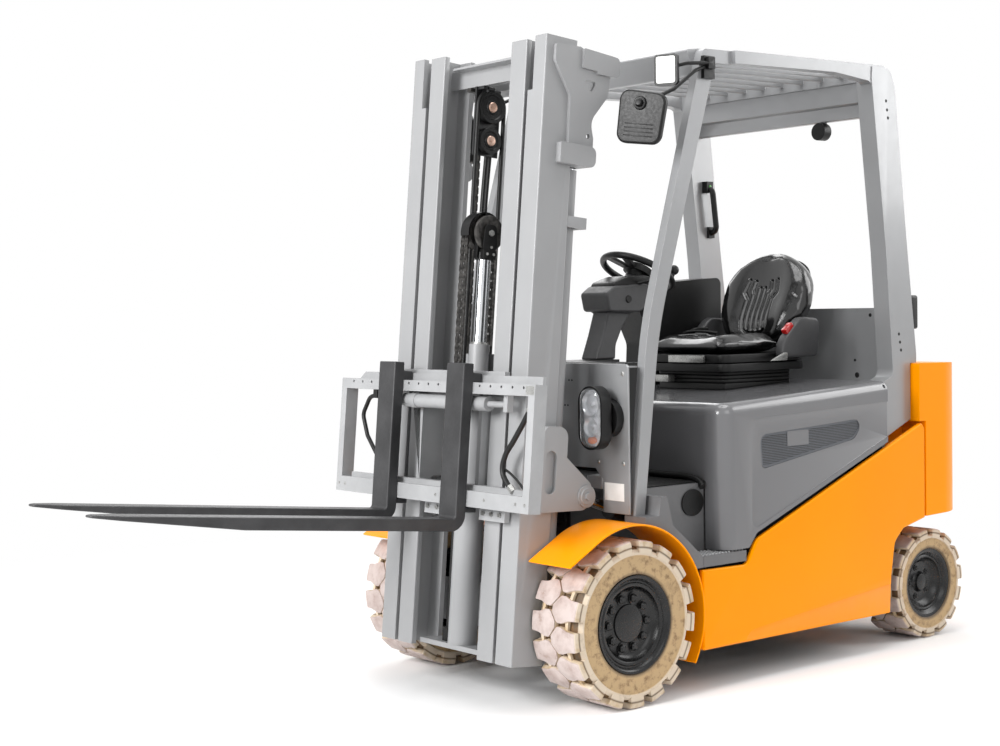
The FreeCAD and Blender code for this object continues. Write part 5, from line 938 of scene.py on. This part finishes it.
def makeSeatBase(look):
    body, slot = bodyOf["seat_base"], slotOf["seat_base"]
    front, rear, half = look["frontX"], look["rearX"], look["half"]
    base = bmesh.new()
    for low, high, inset in ((1.1780, 1.2115, 0.006), (1.1420, 1.1740, 0.0)):
        plate(base, rounded([(rear + inset, inset - half), (front - inset, inset - half), (front - inset, half - inset),
                             (rear + inset, half - inset)], 0.045), low, high, "xy")
    plate(base, rounded([(rear + 0.02, 0.02 - half), (front - 0.02, 0.02 - half), (front - 0.02, half - 0.02),
                         (rear + 0.02, half - 0.02)], 0.03), 1.1735, 1.1785, "xy")
    roundEdges(base, 0.009, segments=3, angle=50)
    pan = addPiece("seatPan", base, "blackPlastic", body)
    folds = bmesh.new()
    for low, high in ((1.0960, 1.1110), (1.1110, 1.1265), (1.1265, 1.1420)):
        outline = [(rear + 0.045, 0.040 - half), (front - 0.048, 0.040 - half), (front - 0.048, half - 0.040),
                   (rear + 0.045, half - 0.040)]
        plate(folds, rounded(outline, 0.03), low, high, "xy")
    plate(folds, [(rear + 0.050, 1.0866), (front - 0.055, 1.0672), (front - 0.058, 1.0960), (rear + 0.055, 1.0960)],
          0.046 - half, half - 0.046)
    roundEdges(folds, 0.0055, segments=3, angle=50)
    addPiece("seatBellows", folds, "hoseRubber", body)
    covers = bmesh.new()
    outline = [(rear - 0.030, 1.192), (-1.172, 1.192), (-1.186, 1.262), (-1.296, 1.360), (rear - 0.038, 1.350)]
    plate(covers, rounded(outline, 0.030), half - 0.003, half + 0.043)
    roundEdges(covers, 0.010, segments=3, angle=50)
    bothSides(covers)
    addPiece("seatSideCovers", covers, "columnGrey", body)
    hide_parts("seat_base")
    trim = bmesh.new()
    block(trim, (-0.872, -0.856), (-0.062, 0.131), (1.180, 1.2085))
    block(trim, (-0.905, -0.868), (-0.150, -0.075), (1.098, 1.126))
    plate(trim, rounded([(-1.094, 1.182), (-1.180, 1.214), (-1.199, 1.213), (-1.197, 1.182)], 0.006), 0.2778, 0.2835)
    roundEdges(trim, 0.003, segments=2, angle=50)
    addPiece("seatLevers", trim, "zincSteel", body)
    buckle = bmesh.new()
    turn = Matrix.Translation((-1.232, 0.256, 1.310)) @ Matrix.Rotation(math.radians(38), 4, "Y")
    made = block(buckle, (-0.026, 0.026), (-0.014, 0.014), (-0.010, 0.014))
    bmesh.ops.transform(buckle, matrix=turn, verts=made)
    roundEdges(buckle, 0.004, segments=2, angle=50)
    addPiece("seatBuckle", buckle, "redLens", body)
    for number, points in enumerate((
            [(-1.150, -0.232, 1.232), (-1.120, -0.215, 1.300), (-1.165, -0.170, 1.312), (-1.210, -0.120, 1.292)],
            [(-1.190, -0.235, 1.240), (-1.160, -0.205, 1.318), (-1.215, -0.180, 1.325)])):
        strap = hoseShape(points, 0.014, rings=3)
        middle = sum((v.co for v in strap.verts), Vector()) / len(strap.verts)
        bmesh.ops.scale(strap, vec=(1, 1, 0.45), space=Matrix.Translation(-middle), verts=strap.verts[:])
        addPiece("seatBeltEnd%d" % number, strap, "matRubber", body)


makeSeatBase(seat)
makeCushion(seat)
makeBackrest(seat)
print("seat is made")

# Hood, floor and step
hoodTrim = {"face": 0.595, "grille": [(-0.6904, 0.7906), (-0.6824, 0.9196), (-1.3044, 0.9515), (-1.2402, 0.8724)],
            "slatPitch": 0.0062, "slatHeight": 0.0034}


def makeGrilles(look):
    body, slot = bodyOf["hood_grilles"], slotOf["hood_grilles"]
    # Painted shade: a black sheet behind the slats stands in for the shade inside the hood
    back = bmesh.new()
    outline = rounded(look["grille"], 0.030)
    plate(back, outline, look["face"] - 0.0098, look["face"] - 0.0088)
    bothSides(back)
    shadeBackPiece = addPiece("grilleShadeBacks", back, "frameBlack", body)
    slats = bmesh.new()
    low = 0.797
    while low < 0.945:
        block(slats, (-1.31, -0.67), (look["face"] - 0.0090, look["face"] - 0.0068), (low, low + look["slatHeight"]))
        low += look["slatPitch"]
    corners = [Vector((x, 0, z)) for x, z in look["grille"]]
    middle = sum(corners, Vector()) / len(corners)
    for start, end in zip(corners, corners[1:] + corners[:1]):
        out = (end - start).cross(Vector((0, 1, 0))).normalized()
        if out.dot(start - middle) < 0:
            out = -out
        cut = bmesh.ops.bisect_plane(slats, geom=slats.verts[:] + slats.edges[:] + slats.faces[:], dist=0.00001,
                                     plane_co=start - out * 0.006, plane_no=out, clear_outer=True)
        rims = [g for g in cut["geom_cut"] if isinstance(g, bmesh.types.BMEdge)]
        bmesh.ops.holes_fill(slats, edges=rims, sides=0)
    bothSides(slats)
    addPiece("grilleSlats", slats, "caseGrey", body)
    frameShape = bmesh.new()
    plate(frameShape, outline, look["face"] - 0.0088, look["face"] - 0.0060)
    bmesh.ops.recalc_face_normals(frameShape, faces=frameShape.faces[:])
    rings = [f for f in frameShape.faces if abs(f.normal.y) > 0.9]
    for ring in rings:
        bmesh.ops.inset_region(frameShape, faces=[ring], thickness=0.008, depth=0, use_even_offset=True)
    inner = [f for f in frameShape.faces if abs(f.normal.y) > 0.9 and len(f.verts) > 8]
    pair = sorted(inner, key=lambda f: f.calc_area())[:2]
    if len(pair) == 2:
        edges = [e for f in pair for e in f.edges]
        bmesh.ops.delete(frameShape, geom=pair, context="FACES_ONLY")
        bmesh.ops.bridge_loops(frameShape, edges=edges)
    bothSides(frameShape)
    addPiece("grilleFrames", frameShape, "caseGrey", body)
    patch = bmesh.new()
    plate(patch, rounded([(-0.838, 0.868), (-0.838, 0.925), (-0.962, 0.925), (-0.962, 0.868)], 0.003, 2),
          look["face"] - 0.0070, look["face"] - 0.0058)
    addPiece("grilleBlank", patch, "hoodGrey", body)
    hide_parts("hood_grilles")


makeGrilles(hoodTrim)
floorTrim = {"floorZ": 0.750, "riser": 0.490, "stepZ": 0.495}


def makeFloorTrim(look):
    body = bodyOf["cab_floor"]
    mat = bmesh.new()
    outline = [(-0.075, -0.300), (-0.075, 0.300), (-0.180, 0.474), (-0.468, 0.474), (-0.468, -0.474), (-0.180, -0.474)]
    plate(mat, rounded(outline, 0.02, 3), look["floorZ"] + 0.0003, look["floorZ"] + 0.0060, "xy")
    roundEdges(mat, 0.002, segments=2, angle=50)
    addPiece("floorMat", mat, "matRubber", body)
    lip = hoseShape([(-0.464, -0.488, 0.738), (-0.466, -0.460, 0.764), (-0.468, -0.300, 0.770), (-0.468, 0.300, 0.770),
                     (-0.466, 0.440, 0.766), (-0.462, 0.488, 0.752), (-0.456, 0.506, 0.736)], 0.0125)
    addPiece("floorLip", lip, "matRubber", body)
    pads = bmesh.new()
    for side in (1, -1):
        face = side * look["riser"]
        made = barrel(pads, (-0.416, face, 0.680), (-0.416, face + side * 0.0065, 0.680), 0.05, 40)
        bmesh.ops.scale(pads, vec=(1.14, 1, 1.0), space=Matrix.Translation((0.416, 0, -0.680)), verts=made)
    roundEdges(pads, 0.002, segments=2, angle=60)
    addPiece("riserPads", pads, "matRubber", body)
    studs = bmesh.new()
    for row in range(5):
        for i in range(13):
            x = -0.374 - 0.0175 * i - (0.00875 if row % 2 else 0)
            y = 0.508 + 0.0185 * row
            for side in (1, -1):
                foot, top = look["stepZ"] - 0.0005, look["stepZ"] + 0.0045
                barrel(studs, (x, side * y, foot), (x, side * y, top), 0.0062, 8, 0.0040)
    addPiece("stepStuds", studs, "carriageGrey", body)


makeFloorTrim(floorTrim)
print("hood and floor trim are made")

# Small parts on the front panel, guard and mirrors
def makePanelTrim():
    body = bodyOf["front_panel"]
    tag = bmesh.new()
    plate(tag, [(0.401, 0.714), (0.502, 0.714), (0.502, 0.777), (0.401, 0.777)], -0.0600, -0.0588, "yz")
    addPiece("panelBlankPlate", tag, "plateWhite", body)
    # Thin dark rubber discs are painted shade standing in for the inside of the bolt holes
    holeShadeDiscs = bmesh.new()
    for y, z in ((0.215, 1.142), (0.231, 1.142), (0.191, 1.049), (0.207, 1.049), (-0.215, 1.142), (-0.231, 1.142)):
        barrel(holeShadeDiscs, (-0.0602, y, z), (-0.0594, y, z), 0.0036, 12)
    addPiece("panelHoleShade", holeShadeDiscs, "matRubber", body)
    bolts = bmesh.new()
    for side in (1, -1):
        for y, z in ((0.500, 0.850), (0.500, 1.170), (0.370, 0.850)):
            barrel(bolts, (-0.0602, side * y, z), (-0.0560, side * y, z), 0.0085, 20, 0.0060)
    addPiece("panelBolts", bolts, "zincSteel", body)


def makeGuardTrim():
    body = bodyOf["guard_side_frames"]
    # Thin dark rubber discs are painted shade standing in for the inside of the holes in the guard
    holeShadeDiscs = bmesh.new()
    for x, z in ((-1.495, 2.228), (-1.501, 2.192), (-1.507, 2.160), (-1.569, 1.281), (-1.576, 1.248), (-1.582, 1.215)):
        barrel(holeShadeDiscs, (x, 0.5586, z), (x, 0.5595, z), 0.0065, 16)
    bothSides(holeShadeDiscs)
    for y, z, radius in ((0.389, 1.360, 0.008), (0.308, 1.170, 0.006), (0.318, 1.107, 0.012), (-0.389, 1.360, 0.008)):
        barrel(holeShadeDiscs, (-1.6002, y, z), (-1.5980, y, z), radius, 16, radius * 0.8)
    addPiece("guardHoleShade", holeShadeDiscs, "matRubber", body)
    label = bmesh.new()
    plate(label, [(0.262, 2.316), (0.384, 2.316), (0.384, 2.350), (0.262, 2.350)], -1.4575, -1.4562, "yz")
    addPiece("headerBlankLabel", label, "plateWhite", body)
    button = bmesh.new()
    barrel(button, (-1.528, -0.4510, 1.952), (-1.528, -0.4465, 1.952), 0.0075, 20, 0.0060)
    addPiece("handleButton", button, "greenButton", body)
    tails = bmesh.new()
    plate(tails, rounded([(0.492, 1.300), (0.548, 1.300), (0.548, 1.440), (0.492, 1.440)], 0.012), -1.712, -1.650, "yz")
    roundEdges(tails, 0.004, segments=2, angle=60)
    bothSides(tails)
    addPiece("tailLampShells", tails, "blackPlastic", body)
    tailLenses = (("tailLampRed", "redLens", 1.362, 1.432), ("tailLampAmber", "amberLens", 1.308, 1.356))
    for name, finish, low, high in tailLenses:
        lensShape = bmesh.new()
        outline = rounded([(0.498, low), (0.542, low), (0.542, high), (0.498, high)], 0.008)
        plate(lensShape, outline, -1.7175, -1.7115, "yz")
        roundEdges(lensShape, 0.002, segments=2, angle=60)
        bothSides(lensShape)
        addPiece(name, lensShape, finish, body)
    glow = bmesh.new()
    barrel(glow, (-1.5155, 0.228, 2.133), (-1.5118, 0.228, 2.133), 0.0300, 32, 0.0330)
    addPiece("workLampGlass", glow, "lampChrome", body)


def makeMirrorTrim():
    body = bodyOf["mirrors"]
    turn = Matrix.Rotation(math.radians(24), 4, "Z")
    small = truckPlace @ Matrix.Translation((-0.292, 0.506, 2.262)) @ turn
    # The small mirror's glass is a white plate: a painted reflection of the bright surroundings
    face = bmesh.new()
    outline = rounded([(-0.034, -0.048), (0.038, -0.048), (0.038, 0.048), (-0.034, 0.048)], 0.008)
    plate(face, outline, 0.0118, 0.0128, "yz")
    addPiece("smallMirrorPaintedReflection", face, "plateWhite", body, small)
    big = truckPlace @ Matrix.Translation((-0.163, 0.500, 2.086)) @ turn @ Matrix.Rotation(math.radians(-8), 4, "X")
    for side in (1, -1):
        knob = bmesh.new()
        barrel(knob, (0.010, 0.000, 0.048), (0.020, 0.000, 0.048), 0.026, 32, 0.022)
        barrel(knob, (0.020, 0.000, 0.048), (0.034, 0.000, 0.050), 0.016, 24, 0.011)
        for z in (-0.070, -0.056, -0.042, -0.028):
            block(knob, (0.0112, 0.0132), (-0.052, 0.060), (z, z + 0.004))
        roundEdges(knob, 0.0012, segments=2, angle=50)
        glassFace = bmesh.new()
        outline = rounded([(-0.070, -0.086), (0.078, -0.084), (0.086, 0.078), (-0.074, 0.086)], 0.030)
        plate(glassFace, outline, -0.0128, -0.0119, "yz")
        if side < 0:
            for shape in (knob, glassFace):
                mirrored = Matrix.Diagonal((1, -1, 1, 1)) @ truckPlace.inverted() @ big
                bmesh.ops.transform(shape, matrix=mirrored, verts=shape.verts[:])
        place = big if side > 0 else truckPlace
        sideName = "Left" if side > 0 else "Right"
        addPiece("mirrorBack" + sideName, knob, "blackPlastic", body, place)
        addPiece("mirrorGlass" + sideName, glassFace, "lampChrome", body, place)


makePanelTrim()
makeGuardTrim()
makeMirrorTrim()


# Steering column cover and stalk
def makeColumnTrim():
    body = bodyOf["steering_column"]
    cover = bmesh.new()
    outline = [(-0.428, 1.486), (-0.560, 1.494), (-0.668, 1.478), (-0.664, 1.512), (-0.612, 1.534), (-0.520, 1.530),
               (-0.440, 1.506)]
    plate(cover, rounded(outline, 0.014), -0.066, 0.066)
    roundEdges(cover, 0.010, segments=3, angle=50)
    addPiece("columnCover", cover, "blackPlastic", body)
    stalk = hoseShape([(-0.560, 0.060, 1.500), (-0.585, 0.110, 1.512), (-0.610, 0.165, 1.530)], 0.007, rings=3)
    addPiece("columnStalk", stalk, "blackPlastic", body)
    grip = bmesh.new()
    barrel(grip, (-0.604, 0.150, 1.526), (-0.622, 0.188, 1.540), 0.0125, 20, 0.0105)
    addPiece("columnStalkGrip", grip, "blackPlastic", body)
    dial = bmesh.new()
    barrel(dial, (-0.500, 0.0775, 1.440), (-0.500, 0.0830, 1.440), 0.016, 28, 0.013)
    addPiece("columnDial", dial, "matRubber", body)


makeColumnTrim()


# Mast and side shifter details
def makeMastTrim():
    pins = bmesh.new()
    x, z = -0.284, 0.765
    barrel(pins, (x, 0.4185, z), (x, 0.4225, z), 0.031, 40, 0.028)
    barrel(pins, (x, 0.4225, z), (x, 0.4310, z), 0.0145, 6)
    bothSides(pins)
    addPiece("tiltPinHeads", pins, "mastGrey", bodyOf["mast_outer_rails"], mastPlace)
    rings = bmesh.new()
    barrel(rings, (-0.087, 0, 1.2900), (-0.087, 0, 1.3000), 0.0345, 40, 0.0315)
    barrel(rings, (-0.087, 0, 1.0450), (-0.087, 0, 1.0560), 0.0555, 48)
    addPiece("freeBarrelRings", rings, "zincSteel", bodyOf["free_lift_barrel"], mastPlace)
    side = bmesh.new()
    outline = [(-0.0040, -0.011), (-0.0020, -0.013), (0.0020, -0.013), (0.0040, -0.011), (0.0040, 0.011),
               (0.0020, 0.013), (-0.0020, 0.013), (-0.0040, 0.011)]
    block(side, (-0.165, -0.089), (-0.163, -0.140), (2.248, 2.275))
    for i in range(65):
        low = 1.232 + i * 0.0158
        for offset in ((0.000, 0.0070, 0.0140) if i % 2 else (0.0035, 0.0105)):
            made = plate(side, outline, -0.158 + offset, -0.1556 + offset)
            bmesh.ops.translate(side, verts=list(set(made)), vec=(-0.150, 0, low))
    addPiece("mastSideChain", side, "chainSteel", bodyOf["mast_inner_rails"], mastPlace)
    for number, y in enumerate((-0.126, -0.106, 0.044, 0.066, 0.088)):
        route = [(-0.106, y, 2.290), (-0.138, y, 2.268), (-0.160, y, 2.215), (-0.162, y, 1.800), (-0.157, y, 1.300),
                 (-0.1545, y, 1.225)]
        addPiece("mastLine%d" % number, hoseShape(route, 0.0085, rings=3), "hoseRubber", bodyOf["mast_inner_rails"],
                 mastPlace)
    coil = bmesh.new()
    for i in range(16):
        turnedRing(coil, [(-0.004, 0.0080), (-0.001, 0.0125), (0.003, 0.0125), (0.006, 0.0080)], (0, 0), 20)
        fresh = coil.verts[-80:]
        turn = Matrix.Translation((-0.1615, 0.066, 1.830 + 0.0125 * i)) @ Matrix.Rotation(math.pi / 2, 4, "X")
        bmesh.ops.transform(coil, matrix=turn, verts=fresh)
    addPiece("mastSpring", coil, "hoseRubber", bodyOf["mast_inner_rails"], mastPlace)


def makeShifterTrim():
    body = bodyOf["side_shifter"]
    guide = hoseShape([(0.062, 0.498, 1.088), (0.060, 0.468, 1.040), (0.058, 0.405, 0.955), (0.058, 0.358, 0.890),
                       (0.058, 0.352, 0.842), (0.060, 0.380, 0.806), (0.062, 0.418, 0.780)], 0.0095)
    addPiece("shifterGuideHose", guide, "hoseRubber", body, mastPlace)
    route = [(0.050, 0.356, 0.850), (0.050, 0.385, 0.838), (0.050, 0.430, 0.812), (0.052, 0.462, 0.790)]
    cable = hoseShape(route, 0.0045)
    addPiece("shifterCable", cable, "hoseRubber", body, mastPlace)
    fittings = bmesh.new()
    barrel(fittings, (0.062, 0.4985, 1.090), (0.060, 0.478, 1.055), 0.0125, 6)
    barrel(fittings, (0.060, 0.398, 0.794), (0.062, 0.422, 0.776), 0.0125, 6)
    block(fittings, (0.0900, 0.0922), (0.492, 0.536), (1.112, 1.142))
    for y in (-0.600, -0.560, 0.020, 0.300, 0.470, 0.518):
        barrel(fittings, (0.0905, y, 0.738), (0.0921, y, 0.738), 0.0060, 16)
    addPiece("shifterFittings", fittings, "zincSteel", body, mastPlace)
    bolts = bmesh.new()
    for y in (0.225, 0.271, 0.317, -0.100, -0.045):
        barrel(bolts, (0.0298, y, 0.688), (0.0365, y, 0.688), 0.0085, 6)
    addPiece("carriageBolts", bolts, "zincSteel", bodyOf["carriage"], mastPlace)


makeMastTrim()
makeShifterTrim()
print("small parts are made")
